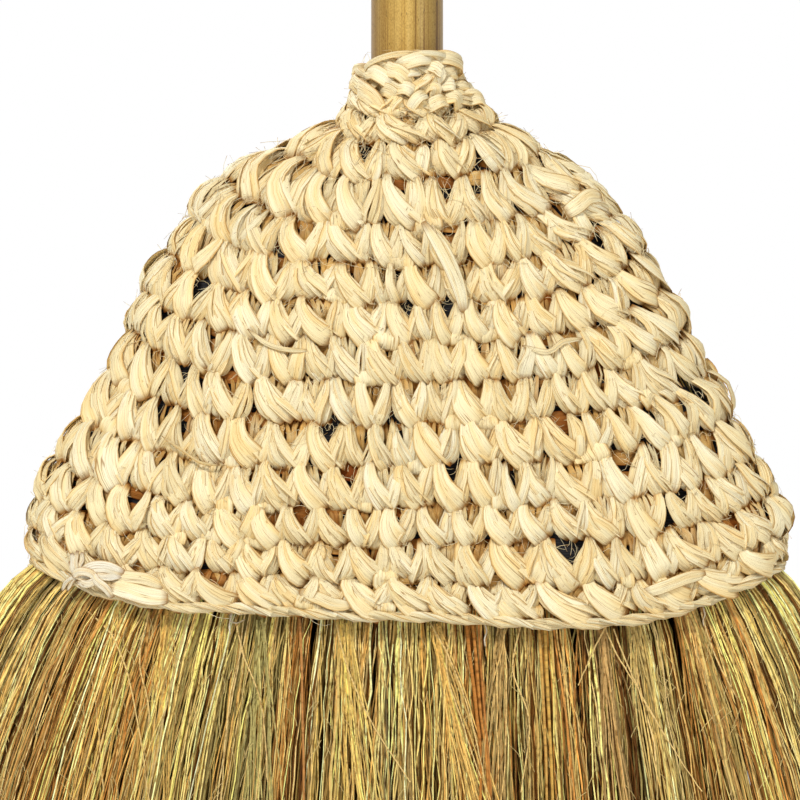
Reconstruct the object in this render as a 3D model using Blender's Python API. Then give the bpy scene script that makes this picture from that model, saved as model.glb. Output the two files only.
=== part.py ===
"""A raffia broom: a bamboo handle set in a flat fan of grass, under a crocheted raffia cover.

The broom stands on its bristle tips at the origin. Its width runs along X, its front faces -Y
and its handle rises along +Z. All sizes are in metres.

The cover is crocheted in rounds, so a place on it is given by its level, which counts the rounds
down from 0 at the neck, and by its place across, from -1 at the left edge to 1 at the right one.
Each layer under the cover follows the same levels, further in.
"""

import math
import random

import bmesh
import bpy

# Overall sizes.
OVERALL_HEIGHT = 1.000
BRISTLE_LENGTH = 0.165
FIT_GAP = 0.0004

# Crocheted cover.
COVER_HEIGHT = 0.1857
COVER_WIDTH = 0.270
COVER_DEPTH = 0.064
COVER_WALL = 0.006
COVER_SIDE_RISE = 0.0175
ROUND_COUNT = 15
ROUND_GROOVE_DEPTH = 0.0022
ROUND_CREST_SHARE = 0.6
RING_SIDES = 36
SIDE_RISE_POWER = 4.5
NECK_ROUNDNESS = 2.0
HEM_ROUNDNESS = 2.6
# Level, then shares of the drop from the neck, of the growth in width and in depth from the
# neck, and of the rise at the sides.
COVER_OUTLINE_SHARES = (
    (0, 0.000, 0.000, 0.000, 0.00),
    (1, 0.038, 0.021, 0.180, 0.16),
    (2, 0.075, 0.055, 0.366, 0.26),
    (3, 0.124, 0.124, 0.552, 0.34),
    (4, 0.192, 0.278, 0.664, 0.56),
    (5, 0.279, 0.412, 0.739, 0.94),
    (6, 0.354, 0.506, 0.800, 1.00),
    (8, 0.497, 0.665, 0.873, 1.00),
    (10, 0.654, 0.777, 0.925, 1.00),
    (12, 0.814, 0.897, 0.970, 1.00),
    (14, 0.946, 1.000, 1.000, 1.00),
    (15, 1.000, 0.983, 0.963, 1.00),
)

# Twisted edgings and the fastening off.
HEM_EDGING_HEIGHT = 0.004
HEM_EDGING_WIDTH = 0.006
HEM_EDGING_SIDES = 8
NECK_EDGING_DIAMETER = 0.0048
NECK_EDGING_SIDES = 8
NECK_EDGING_TILT = math.radians(6)
KNOT_LENGTH = 0.020
KNOT_THICKNESS = 0.006
KNOT_ACROSS_SHARE = -0.80

# Black lining under the crochet.
LINING_WALL = 0.001
LINING_GAP = 0.0006
ROUNDS_ABOVE_LINING_COUNT = 2
LAST_ROUND_LINED_SHARE = 0.6

# Grass fan.
SIDE_BUNDLES = 5
SIDE_COLUMNS = 4
SIDE_ROWS = 8
CENTRE_COLUMNS = 4
CENTRE_ROWS = 4
BUNDLE_GAP = 0.0006
GRASS_GAP = 0.0010
ROUNDS_ABOVE_FAN_COUNT = 4
FAN_EDGE_SHARE = 0.975
SPREAD_ANGLE = math.radians(32)
LEFT_SPREAD_POWER = 1.5
RIGHT_SPREAD_POWER = 2.5
STRAIGHTENING_SHARE = 0.7
FOOT_THICKENING_SHARE = 0.22
STRAND_WIDTH_SHARE = 0.80
STRAND_TIP_SHARE = 0.75
STRAND_BEND_SHARE = 0.40
STRAND_STAGGER_SHARE = 0.15
STRAND_STRAY_SHARE = 0.05

# Kinds of grass in the bundles of each side, outwards from the handle.
LEFT_BUNDLE_KINDS = ("brown", "olive", "golden", "brown", "olive")
RIGHT_BUNDLE_KINDS = ("brown", "golden", "olive", "brown", "olive")

# Cords stitched round the fan.
CORD_DIAMETER = 0.0016
CORD_SIDES = 6
CORD_SEAT_GAP = 0.0009
CORD_BAND = 0.0034
UPPER_CORD_DROP_SHARE = 0.393
LOWER_CORD_DROP_SHARE = 0.862

# Bamboo handle and its peg.
HANDLE_FOOT_DIAMETER = 0.025
HANDLE_TOP_DIAMETER = 0.0235
HANDLE_SET_IN_SHARE = 0.754
HANDLE_SIDES = 24
HANDLE_WALL = 0.0038
HANDLE_END_RECESS = 0.006
HANDLE_EDGE_ROUND = 0.0006
HANDLE_FOOT_CLEARANCE = 0.004
INTERNODE_LENGTH = 0.210
TOP_NODE_DROP = 0.055
NODE_RIDGE_HEIGHT = 0.0009
NODE_RIDGE_LENGTH = 0.009
NODE_SCAR_SHARE = 0.35
NODE_LIP_SHARE = 0.30
PEG_DIAMETER = 0.004
PEG_SIDES = 12
PEG_DROP_SHARE = 0.565
PEG_END_INSET = 0.0012

# Colours of the materials.
RAFFIA_COLOUR = (0.87, 0.73, 0.46, 1)
KNOT_COLOUR = (0.90, 0.80, 0.58, 1)
LINING_COLOUR = (0.02, 0.018, 0.016, 1)
GRASS_COLOURS = {
    "olive": (0.36, 0.30, 0.11, 1),
    "golden": (0.52, 0.35, 0.11, 1),
    "brown": (0.26, 0.15, 0.06, 1),
}
CORD_COLOUR = (0.45, 0.32, 0.16, 1)
BAMBOO_COLOUR = (0.53, 0.36, 0.15, 1)
PEG_COLOUR = (0.60, 0.44, 0.22, 1)
SMOOTH_ANGLE = math.radians(30)

# Places that follow from the sizes.
HEM_CLEARANCE = FIT_GAP
COVER_FOOT_Z = BRISTLE_LENGTH + HEM_EDGING_HEIGHT + HEM_CLEARANCE
COVER_TOP_Z = COVER_FOOT_Z + COVER_HEIGHT
HANDLE_SET_IN = COVER_HEIGHT * HANDLE_SET_IN_SHARE
HANDLE_FOOT_Z = COVER_TOP_Z - HANDLE_SET_IN
PEG_DROP = COVER_HEIGHT * PEG_DROP_SHARE
UPPER_CORD_DROP = COVER_HEIGHT * UPPER_CORD_DROP_SHARE
LOWER_CORD_DROP = COVER_HEIGHT * LOWER_CORD_DROP_SHARE
HANDLE_RADIUS = HANDLE_FOOT_DIAMETER / 2
HANDLE_REACH = HANDLE_RADIUS + FIT_GAP
NECK_HALF_WIDTH = HANDLE_REACH + COVER_WALL
LINING_INSET = COVER_WALL + LINING_GAP
LINING_FOOT_LEVEL = ROUND_COUNT - 1 + LAST_ROUND_LINED_SHARE
CORD_INSET = LINING_INSET + LINING_WALL + FIT_GAP + CORD_DIAMETER / 2
GRASS_INSET = LINING_INSET + LINING_WALL + GRASS_GAP
WAIST_INSET = CORD_INSET + CORD_DIAMETER / 2 + CORD_SEAT_GAP
CENTRE_REACH = HANDLE_REACH / math.cos(math.pi / (2 * CENTRE_COLUMNS))


def clear_scene():
    for item in list(bpy.data.objects):
        bpy.data.objects.remove(item, do_unlink=True)


def make_material(name, colour, roughness):
    material = bpy.data.materials.new(name)
    material.use_nodes = True
    shader = material.node_tree.nodes["Principled BSDF"]
    shader.inputs["Base Color"].default_value = colour
    shader.inputs["Roughness"].default_value = roughness
    shader.inputs["Metallic"].default_value = 0.0
    material.diffuse_color = colour
    return material


def finish_object(name, body, material, smooth=True):
    """Turns a closed bmesh into a named object with its faces pointing out."""
    bmesh.ops.recalc_face_normals(body, faces=body.faces[:])
    mesh = bpy.data.meshes.new(name)
    body.to_mesh(mesh)
    body.free()
    if smooth:
        mesh.shade_smooth()
        mesh.set_sharp_from_angle(angle=SMOOTH_ANGLE)
    item = bpy.data.objects.new(name, mesh)
    bpy.context.scene.collection.objects.link(item)
    item.data.materials.append(material)
    return item


def read_along(value, given, wanted):
    """Reads one column of the cover's outline at a value of another, on straight lines."""
    rows = COVER_OUTLINE_SHARES
    for above, below in zip(rows, rows[1:]):
        if value <= below[given]:
            part = (value - above[given]) / (below[given] - above[given])
            return above[wanted] + part * (below[wanted] - above[wanted])
    return rows[-1][wanted]


def level_at_drop(drop):
    """The level that lies a length below the neck, at the middle of the cover."""
    return read_along(drop / COVER_HEIGHT, 1, 0)


def half_width(level, inset):
    growth = COVER_WIDTH / 2 - NECK_HALF_WIDTH
    return NECK_HALF_WIDTH + growth * read_along(level, 0, 2) - inset


def half_depth(level, inset):
    growth = COVER_DEPTH / 2 - NECK_HALF_WIDTH
    return NECK_HALF_WIDTH + growth * read_along(level, 0, 3) - inset


def height_at(level, across):
    """Height of a level at a place across: each round is an arc that rises at the sides."""
    rise = COVER_SIDE_RISE * read_along(level, 0, 4) * abs(across) ** SIDE_RISE_POWER
    return COVER_TOP_Z - COVER_HEIGHT * read_along(level, 0, 1) + rise


def roundness(level):
    """Power of the cover's plan: 2 is an ellipse, and more is boxier."""
    return NECK_ROUNDNESS + (HEM_ROUNDNESS - NECK_ROUNDNESS) * read_along(level, 0, 2)


def depth_share(level, across):
    """Half the depth of the plan at a place across, as a share of the depth at the middle."""
    power = roundness(level)
    return max(0.0, 1 - abs(across) ** power) ** (1 / power)


def plan_ring(level, inset, lift=0.0):
    """The points of one level's plan, all the way round."""
    power = 2 / roundness(level)
    points = []
    for step in range(RING_SIDES):
        angle = 2 * math.pi * step / RING_SIDES
        across = math.copysign(abs(math.cos(angle)) ** power, math.cos(angle))
        through = math.copysign(abs(math.sin(angle)) ** power, math.sin(angle))
        x = half_width(level, inset) * across
        y = half_depth(level, inset) * through
        points.append((x, y, height_at(level, across) + lift))
    return points


def closed_sleeve(name, rings, material):
    """Joins rings in turn, and the last to the first, into one closed sleeve.

    Every four-sided patch is split from its upper corner on one side to its lower corner on the
    other, so the layers that lie inside each other keep the same facets.
    """
    body = bmesh.new()
    loops = []
    for ring in rings:
        loops.append([body.verts.new(point) for point in ring])
    for loop, following in zip(loops, loops[1:] + loops[:1]):
        sides = len(loop)
        for side in range(sides):
            after = (side + 1) % sides
            if loop[side].co.z > following[side].co.z:
                body.faces.new((loop[side], loop[after], following[after]))
                body.faces.new((loop[side], following[after], following[side]))
            else:
                body.faces.new((loop[side], loop[after], following[side]))
                body.faces.new((loop[after], following[after], following[side]))
    return finish_object(name, body, material)


def outline_levels(top, foot):
    """Levels of the cover's outline that lie between two levels, with those two."""
    inside = [row[0] for row in COVER_OUTLINE_SHARES if top < row[0] < foot]
    return [top] + inside + [foot]


def build_cover(material):
    """The crochet: a ribbed sleeve with one crest for each round, open at neck and hem."""
    rings = []
    for level in range(ROUND_COUNT):
        rings.append(plan_ring(level, ROUND_GROOVE_DEPTH))
        rings.append(plan_ring(level + ROUND_CREST_SHARE, 0.0))
    rings.append(plan_ring(ROUND_COUNT, ROUND_GROOVE_DEPTH))
    for level in reversed(outline_levels(0, ROUND_COUNT)):
        rings.append(plan_ring(level, COVER_WALL))
    closed_sleeve("raffia_cover", rings, material)


def build_lining(material):
    levels = outline_levels(ROUNDS_ABOVE_LINING_COUNT, LINING_FOOT_LEVEL)
    rings = [plan_ring(level, LINING_INSET) for level in levels]
    rings += [plan_ring(level, LINING_INSET + LINING_WALL) for level in reversed(levels)]
    closed_sleeve("inner_lining", rings, material)


def build_hem_edging(material):
    """The edging under the last round, which follows the hem's arc."""
    rings = []
    for side in range(HEM_EDGING_SIDES):
        angle = 2 * math.pi * side / HEM_EDGING_SIDES
        inset = COVER_WALL / 2 - HEM_EDGING_WIDTH / 2 * math.cos(angle)
        drop = HEM_CLEARANCE + HEM_EDGING_HEIGHT / 2 * (1 - math.sin(angle))
        rings.append(plan_ring(ROUND_COUNT, inset, lift=-drop))
    closed_sleeve("hem_edging", rings, material)


def build_neck_edging(material):
    """The loose ring that closes the neck round the handle, a little higher on the right."""
    radius = NECK_EDGING_DIAMETER / 2
    path_radius = HANDLE_REACH / math.cos(NECK_EDGING_TILT) + radius
    tilt_drop = (path_radius + radius) * math.sin(NECK_EDGING_TILT)
    centre_z = COVER_TOP_Z + FIT_GAP + radius + tilt_drop
    rings = []
    for side in range(NECK_EDGING_SIDES):
        angle = 2 * math.pi * side / NECK_EDGING_SIDES
        reach = path_radius + radius * math.cos(angle)
        ring = []
        for step in range(RING_SIDES):
            turn = 2 * math.pi * step / RING_SIDES
            x = reach * math.cos(turn)
            z = centre_z + x * math.tan(NECK_EDGING_TILT) + radius * math.sin(angle)
            ring.append((x, reach * math.sin(turn), z))
        rings.append(ring)
    closed_sleeve("neck_edging", rings, material)


def build_fan_cord(name, drop, material):
    """A cord round the fan, in the waist that it draws into the grass."""
    level = level_at_drop(drop)
    radius = CORD_DIAMETER / 2
    rings = []
    for side in range(CORD_SIDES):
        angle = 2 * math.pi * side / CORD_SIDES
        inset = CORD_INSET - radius * math.cos(angle)
        rings.append(plan_ring(level, inset, lift=radius * math.sin(angle)))
    closed_sleeve(name, rings, material)


def build_knot(material):
    """The fastening off: a short thick knot that lies along the hem at the left front."""
    level = ROUND_COUNT - 1 + ROUND_CREST_SHARE
    across = KNOT_ACROSS_SHARE
    power = roundness(level)
    through = -depth_share(level, across)
    normal_x = math.copysign(abs(across) ** (power - 1), across) / half_width(level, 0.0)
    normal_y = math.copysign(abs(through) ** (power - 1), through) / half_depth(level, 0.0)
    length = math.hypot(normal_x, normal_y)
    out = KNOT_THICKNESS / 2 + FIT_GAP
    body = bmesh.new()
    bmesh.ops.create_uvsphere(body, u_segments=12, v_segments=8, radius=1)
    item = finish_object("fasten_off_knot", body, material)
    item.scale = (KNOT_LENGTH / 2, KNOT_THICKNESS / 2, KNOT_THICKNESS / 2)
    item.rotation_euler = (0, 0, math.atan2(normal_y, normal_x) + math.pi / 2)
    item.location = (
        half_width(level, 0.0) * across + out * normal_x / length,
        half_depth(level, 0.0) * through + out * normal_y / length,
        height_at(level, across),
    )


def fan_levels():
    """Levels at which the grass gets a section, each with how far in the section lies."""
    sections = {level: GRASS_INSET for level in outline_levels(ROUNDS_ABOVE_FAN_COUNT, ROUND_COUNT)}
    for drop in (UPPER_CORD_DROP, LOWER_CORD_DROP):
        for edge in (drop - CORD_BAND / 2, drop + CORD_BAND / 2):
            sections[level_at_drop(edge)] = WAIST_INSET
    handle_end = HANDLE_SET_IN + FIT_GAP
    sections.setdefault(level_at_drop(handle_end), GRASS_INSET)
    sections.setdefault(level_at_drop(handle_end + HANDLE_FOOT_CLEARANCE), GRASS_INSET)
    return sorted(sections.items())


def fan_edge_x():
    """Half the width of the grass where its strands leave the last section."""
    return FAN_EDGE_SHARE * half_width(ROUND_COUNT, GRASS_INSET)


def spread_down(x, y, root_z, way_down):
    """Where a point at the hem comes to, part of the way down the bristles to the floor."""
    edge_share = x / fan_edge_x()
    power = LEFT_SPREAD_POWER if x < 0 else RIGHT_SPREAD_POWER
    slope = math.tan(SPREAD_ANGLE) * math.copysign(abs(edge_share) ** power, x)
    run = root_z * (way_down - STRAIGHTENING_SHARE * way_down ** 2 / 2)
    thickening = 1 + FOOT_THICKENING_SHARE * way_down
    return x + slope * run, y * thickening, root_z * (1 - way_down)


def blend(start, end, share):
    return tuple(a + (b - a) * share for a, b in zip(start, end))


def add_strand(body, cell, flipped, stray):
    """One three-sided strand that grows out of a cell of the section's foot.

    The cell's corners come in turn: near left, near right, far right, far left.
    """
    margin = (1 - STRAND_WIDTH_SHARE) / 2
    corners = cell[2:] + cell[:2] if flipped else cell
    places = [corner.co.to_tuple() for corner in corners]
    triangle = []
    for across, through in ((0.5, margin), (1 - margin, 1 - margin), (margin, 1 - margin)):
        near = blend(places[0], places[1], across)
        far = blend(places[3], places[2], across)
        triangle.append(blend(near, far, through))
    centre = [sum(point[axis] for point in triangle) / 3 for axis in range(3)]
    rings = [[body.verts.new(point) for point in triangle]]
    for way_down, size in ((STRAND_BEND_SHARE, 1.0), (1.0, STRAND_TIP_SHARE)):
        middle_x, middle_y, z = spread_down(*centre, way_down)
        ring = []
        for point in triangle:
            x, y, _ = spread_down(point[0], point[1], centre[2], way_down)
            ring.append(body.verts.new((
                middle_x + (x - middle_x) * size + stray[0] * way_down,
                middle_y + (y - middle_y) * size + stray[1] * way_down,
                z,
            )))
        rings.append(ring)
    near_point, right_point, left_point = rings[0]
    near_left, near_right, far_right, far_left = corners
    body.faces.new((near_left, near_right, near_point))
    body.faces.new((near_right, far_right, right_point))
    body.faces.new((near_right, right_point, near_point))
    body.faces.new((far_right, far_left, left_point))
    body.faces.new((far_right, left_point, right_point))
    body.faces.new((far_left, near_left, left_point))
    body.faces.new((near_left, near_point, left_point))
    for ring, following in zip(rings, rings[1:]):
        for side in range(3):
            after = (side + 1) % 3
            body.faces.new((ring[side], ring[after], following[after], following[side]))
    body.faces.new(rings[-1])


def build_bundle(name, columns, rows, column_x, near_y, far_y, material, seed):
    """A bundle of grass: a block of stalks in the cover, and the strands that it ends in.

    column_x gives the x of a share across the bundle at a level, and near_y and far_y give its
    front and its back there. The strands stand on a grid of columns by rows.
    """
    dice = random.Random(seed)
    body = bmesh.new()
    loops = []
    for level, inset in fan_levels():
        width = half_width(level, inset)
        near = []
        far = []
        for column in range(columns + 1):
            x = column_x(level, inset, column / columns)
            z = height_at(level, x / width)
            near.append(body.verts.new((x, near_y(level, inset, x), z)))
            far.append(body.verts.new((x, far_y(level, inset, x), z)))
        loops.append((near, far))
    foot_near, foot_far = loops[-1]
    grid = []
    for near, far in zip(foot_near, foot_far):
        line = [near]
        for row in range(1, rows):
            line.append(body.verts.new(blend(near.co, far.co, row / rows)))
        grid.append(line + [far])

    top_near, top_far = loops[0]
    for column in range(columns):
        after = column + 1
        body.faces.new((top_near[column], top_near[after], top_far[after], top_far[column]))
    for (near, far), (next_near, next_far) in zip(loops, loops[1:]):
        for column in range(columns):
            after = column + 1
            body.faces.new((near[column], near[after], next_near[after], next_near[column]))
            body.faces.new((far[column], far[after], next_far[after], next_far[column]))
        for end in (0, columns):
            last = next_near is foot_near
            foot_edge = grid[end] if last else [next_near[end], next_far[end]]
            body.faces.new([far[end], near[end]] + foot_edge)
    for column in range(columns):
        for row in range(rows):
            cell = [grid[column][row], grid[column + 1][row]]
            cell += [grid[column + 1][row + 1], grid[column][row + 1]]
            size_x = cell[1].co.x - cell[0].co.x
            size_y = cell[3].co.y - cell[0].co.y
            stagger = STRAND_STAGGER_SHARE * (-1) ** row
            stray_x = size_x * (stagger + dice.uniform(-1, 1) * STRAND_STRAY_SHARE)
            stray_y = size_y * dice.uniform(-1, 1) * STRAND_STRAY_SHARE
            add_strand(body, cell, (column + row) % 2 == 1, (stray_x, stray_y))
    return finish_object(name, body, material, smooth=False)


def outer_y(level, inset, x):
    """How far the grass reaches from the middle plane at a level and a place across."""
    return half_depth(level, inset) * depth_share(level, x / half_width(level, inset))


def build_side_bundles(materials):
    """The bundles on each side of the handle, numbered outwards from it."""
    sides = (("left", -1, LEFT_BUNDLE_KINDS), ("right", 1, RIGHT_BUNDLE_KINDS))
    for side_name, sign, kinds in sides:
        for number in range(SIDE_BUNDLES):

            def column_x(level, inset, share, sign=sign, number=number):
                reach = FAN_EDGE_SHARE * half_width(level, inset) - CENTRE_REACH
                start = CENTRE_REACH + reach * number / SIDE_BUNDLES + BUNDLE_GAP / 2
                end = CENTRE_REACH + reach * (number + 1) / SIDE_BUNDLES - BUNDLE_GAP / 2
                return sign * (start + (end - start) * share)

            build_bundle(
                "grass_%s_%d" % (side_name, number + 1),
                SIDE_COLUMNS,
                SIDE_ROWS,
                column_x,
                lambda level, inset, x: -outer_y(level, inset, x),
                outer_y,
                materials[kinds[number % len(kinds)]],
                seed=number + 1,
            )


def build_centre_bundles(material):
    """The bundles before and behind the handle, which meet below the handle's foot.

    Beside the handle their inner face goes round it, with one flat for each column.
    """
    handle_end = level_at_drop(HANDLE_SET_IN + FIT_GAP + HANDLE_FOOT_CLEARANCE / 2)
    side_x = CENTRE_REACH - BUNDLE_GAP / 2

    def column_x(level, inset, share):
        if level > handle_end:
            return side_x * (2 * share - 1)
        return side_x * math.sin(math.pi * (share - 0.5))

    def handle_y(level, inset, x):
        if level > handle_end:
            return BUNDLE_GAP / 2
        return BUNDLE_GAP / 2 + CENTRE_REACH * math.sqrt(max(0.0, 1 - (x / side_x) ** 2))

    for name, sign in (("front", -1), ("back", 1)):
        bundle = build_bundle(
            "grass_centre_%s" % name,
            CENTRE_COLUMNS,
            CENTRE_ROWS,
            column_x,
            lambda level, inset, x, sign=sign: sign * outer_y(level, inset, x),
            lambda level, inset, x, sign=sign: sign * handle_y(level, inset, x),
            material,
            seed=0,
        )
        cut_peg_hole(bundle)


def handle_radius(height):
    """Radius of the culm, which tapers from its foot to its top."""
    share = (height - HANDLE_FOOT_Z) / (OVERALL_HEIGHT - HANDLE_FOOT_Z)
    return (HANDLE_FOOT_DIAMETER + (HANDLE_TOP_DIAMETER - HANDLE_FOOT_DIAMETER) * share) / 2


def node_heights():
    """Heights of the culm's rings above the cover, from the lowest to the highest."""
    heights = []
    height = OVERALL_HEIGHT - TOP_NODE_DROP
    while height > COVER_TOP_Z + INTERNODE_LENGTH / 2:
        heights.append(height)
        height -= INTERNODE_LENGTH
    return sorted(heights)


def build_handle(material):
    """The bamboo culm, turned from its profile, with a ring at each node and a shallow end."""
    profile = [(0.0, HANDLE_FOOT_Z), (HANDLE_RADIUS - HANDLE_EDGE_ROUND, HANDLE_FOOT_Z)]
    profile.append((HANDLE_RADIUS, HANDLE_FOOT_Z + HANDLE_EDGE_ROUND))
    half = NODE_RIDGE_LENGTH / 2
    for height in node_heights():
        radius = handle_radius(height)
        profile.append((radius, height - half))
        profile.append((radius + NODE_RIDGE_HEIGHT, height - half * NODE_LIP_SHARE))
        profile.append((radius + NODE_RIDGE_HEIGHT * NODE_SCAR_SHARE, height))
        profile.append((radius + NODE_RIDGE_HEIGHT, height + half * NODE_LIP_SHARE))
        profile.append((radius, height + half))
    top_radius = HANDLE_TOP_DIAMETER / 2
    bore_radius = top_radius - HANDLE_WALL
    profile.append((top_radius, OVERALL_HEIGHT - HANDLE_EDGE_ROUND))
    profile.append((top_radius - HANDLE_EDGE_ROUND, OVERALL_HEIGHT))
    profile.append((bore_radius, OVERALL_HEIGHT))
    profile.append((bore_radius, OVERALL_HEIGHT - HANDLE_END_RECESS))
    profile.append((0.0, OVERALL_HEIGHT - HANDLE_END_RECESS))

    body = bmesh.new()
    loops = []
    for radius, height in profile:
        if radius == 0.0:
            loops.append([body.verts.new((0.0, 0.0, height))])
            continue
        loop = []
        for side in range(HANDLE_SIDES):
            angle = 2 * math.pi * side / HANDLE_SIDES
            loop.append(body.verts.new((radius * math.cos(angle), radius * math.sin(angle), height)))
        loops.append(loop)
    for loop, following in zip(loops, loops[1:]):
        for side in range(HANDLE_SIDES):
            after = (side + 1) % HANDLE_SIDES
            if len(loop) == 1:
                body.faces.new((loop[0], following[after], following[side]))
            elif len(following) == 1:
                body.faces.new((loop[side], loop[after], following[0]))
            else:
                body.faces.new((loop[side], loop[after], following[after], following[side]))
    handle = finish_object("handle", body, material)
    cut_peg_hole(handle)


def add_peg_cylinder(name, radius, length):
    """A round bar along Y at the peg's height."""
    body = bmesh.new()
    bmesh.ops.create_cone(
        body,
        cap_ends=True,
        segments=PEG_SIDES,
        radius1=radius,
        radius2=radius,
        depth=length,
    )
    mesh = bpy.data.meshes.new(name)
    body.to_mesh(mesh)
    body.free()
    item = bpy.data.objects.new(name, mesh)
    bpy.context.scene.collection.objects.link(item)
    item.rotation_euler = (math.pi / 2, 0, 0)
    item.location = (0, 0, COVER_TOP_Z - PEG_DROP)
    return item


def cut_peg_hole(target):
    """Drills the hole for the peg through a piece, with a clearance all round the peg."""
    radius = PEG_DIAMETER / 2 + FIT_GAP
    cutter = add_peg_cylinder("peg_hole_in_" + target.name, radius, COVER_DEPTH)
    cutter.hide_render = True
    cutter.display_type = "WIRE"
    hole = target.modifiers.new("peg hole", "BOOLEAN")
    hole.operation = "DIFFERENCE"
    hole.solver = "EXACT"
    hole.object = cutter


def build_peg(material):
    """The bamboo peg that pins the handle to the grass before and behind it."""
    level = level_at_drop(PEG_DROP)
    length = 2 * (half_depth(level, GRASS_INSET) - PEG_END_INSET)
    peg = add_peg_cylinder("handle_peg", PEG_DIAMETER / 2, length)
    peg.data.shade_smooth()
    peg.data.set_sharp_from_angle(angle=SMOOTH_ANGLE)
    peg.data.materials.append(material)


def build_broom():
    clear_scene()
    raffia = make_material("raffia", RAFFIA_COLOUR, 0.55)
    cord = make_material("stitching cord", CORD_COLOUR, 0.7)
    grasses = {}
    for kind, colour in GRASS_COLOURS.items():
        grasses[kind] = make_material(kind + " grass", colour, 0.6)

    build_handle(make_material("bamboo", BAMBOO_COLOUR, 0.35))
    build_peg(make_material("peg bamboo", PEG_COLOUR, 0.5))
    build_side_bundles(grasses)
    build_centre_bundles(grasses["golden"])
    build_fan_cord("fan_cord_upper", UPPER_CORD_DROP, cord)
    build_fan_cord("fan_cord_lower", LOWER_CORD_DROP, cord)
    build_lining(make_material("black lining", LINING_COLOUR, 0.9))
    build_cover(raffia)
    build_neck_edging(raffia)
    build_hem_edging(raffia)
    build_knot(make_material("pale raffia", KNOT_COLOUR, 0.6))
    bpy.context.view_layer.update()


build_broom()
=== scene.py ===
# %% [markdown]
# # A raffia broom, dressed
# The broom is a bamboo culm set in a fan of dry grass. A bell-shaped cover, crocheted from
# raffia, hides the joint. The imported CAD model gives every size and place. This lesson puts the
# fine surface on it: each stitch is laid from real strips of raffia, and each grass stalk is its
# own thin rod.

# %% Load the frame
import math

import bmesh
import bpy
import numpy as np
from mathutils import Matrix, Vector


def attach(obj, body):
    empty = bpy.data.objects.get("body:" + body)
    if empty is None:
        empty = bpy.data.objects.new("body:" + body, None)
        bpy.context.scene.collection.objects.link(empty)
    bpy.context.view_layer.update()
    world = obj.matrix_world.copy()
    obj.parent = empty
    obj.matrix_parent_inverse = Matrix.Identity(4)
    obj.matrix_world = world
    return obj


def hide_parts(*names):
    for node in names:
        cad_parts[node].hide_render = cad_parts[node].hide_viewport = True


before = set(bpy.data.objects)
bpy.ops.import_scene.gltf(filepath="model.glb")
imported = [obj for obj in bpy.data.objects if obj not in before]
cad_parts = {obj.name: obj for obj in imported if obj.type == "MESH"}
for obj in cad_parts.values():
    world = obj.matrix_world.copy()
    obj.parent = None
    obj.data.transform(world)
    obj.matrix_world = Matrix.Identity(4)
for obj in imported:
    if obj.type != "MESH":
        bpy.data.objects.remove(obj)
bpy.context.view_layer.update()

MM = 0.001
FULL_TURN = 6.28
chance = np.random.default_rng(7)

# %% [markdown]
# ## Camera
# The picture is a level view from straight in front, close on the head of the broom. It shows
# 280 mm of it, so the grass runs out of the view at the foot and at both sides. A camera that
# stands far off with a long lens keeps the rounds of the cover as flat as the real picture does.

# %% Place the camera
VIEW_CENTRE = (-2.5 * MM, -12 * MM, 241.6 * MM)
VIEW_WIDTH = 280 * MM
CAMERA_DISTANCE = 2.4
SENSOR_WIDTH = 36

camera_data = bpy.data.cameras.new("camera")
camera_data.sensor_width = SENSOR_WIDTH
camera_data.lens = SENSOR_WIDTH * CAMERA_DISTANCE / VIEW_WIDTH
camera_data.clip_end = 50
camera = bpy.data.objects.new("camera", camera_data)
camera.location = (VIEW_CENTRE[0], VIEW_CENTRE[1] - CAMERA_DISTANCE, VIEW_CENTRE[2])
camera.rotation_euler = (math.radians(90), 0, 0)
bpy.context.scene.collection.objects.link(camera)
bpy.context.scene.camera = camera
print("lens:", round(camera_data.lens, 1), "mm")

# %% [markdown]
# ## Light
# A plain studio: a pale sky from all round, one broad lamp high in front at the left, a weaker
# one at the right and one behind. The sky is white where the camera sees it, straight or in a
# reflection, and dimmer where it only lights.

# %% Light the studio
SKY_LIGHT = 0.36
LAMPS = (
    # Name, place, size across, watts.
    ("lamp_front", (-0.9, -1.9, 1.9), 0.5, 47),
    ("lamp_side", (1.6, -1.3, 0.9), 1.0, 9),
    ("lamp_back", (-0.6, 1.8, 1.5), 1.2, 26),
)
LAMP_AIM = Vector((0, 0, 0.25))

world = bpy.data.worlds.new("studio")
bpy.context.scene.world = world
world.use_nodes = True
tree = world.node_tree
sky = tree.nodes["Background"]
sky.inputs["Color"].default_value = (1, 1, 1, 1)
rays = tree.nodes.new("ShaderNodeLightPath")
seen = rays.outputs["Is Camera Ray"]
for kind in ("Is Glossy Ray", "Is Transmission Ray"):
    either = tree.nodes.new("ShaderNodeMath")
    either.operation = "MAXIMUM"
    tree.links.new(seen, either.inputs[0])
    tree.links.new(rays.outputs[kind], either.inputs[1])
    seen = either.outputs[0]
strength = tree.nodes.new("ShaderNodeMapRange")
strength.inputs["To Min"].default_value = SKY_LIGHT
strength.inputs["To Max"].default_value = 1.0
tree.links.new(seen, strength.inputs["Value"])
tree.links.new(strength.outputs["Result"], sky.inputs["Strength"])

for name, place, size, watts in LAMPS:
    lamp_data = bpy.data.lights.new(name, "AREA")
    lamp_data.shape = "DISK"
    lamp_data.size = size
    lamp_data.energy = watts
    lamp = bpy.data.objects.new(name, lamp_data)
    lamp.location = place
    lamp.rotation_euler = (LAMP_AIM - lamp.location).to_track_quat("-Z", "Y").to_euler()
    bpy.context.scene.collection.objects.link(lamp)

bpy.context.scene.view_settings.view_transform = "Standard"
print("lamps:", [lamp[0] for lamp in LAMPS])

# %% [markdown]
# ## Node helpers
# Every finish here is made of nodes. These helpers keep the recipes short. The first one starts a
# material and gives a function that adds a node and wires its inputs in one line. The others add
# what most finishes need: a ramp, a sum, a piece's own numbers, layers of colour and a bump.

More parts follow.
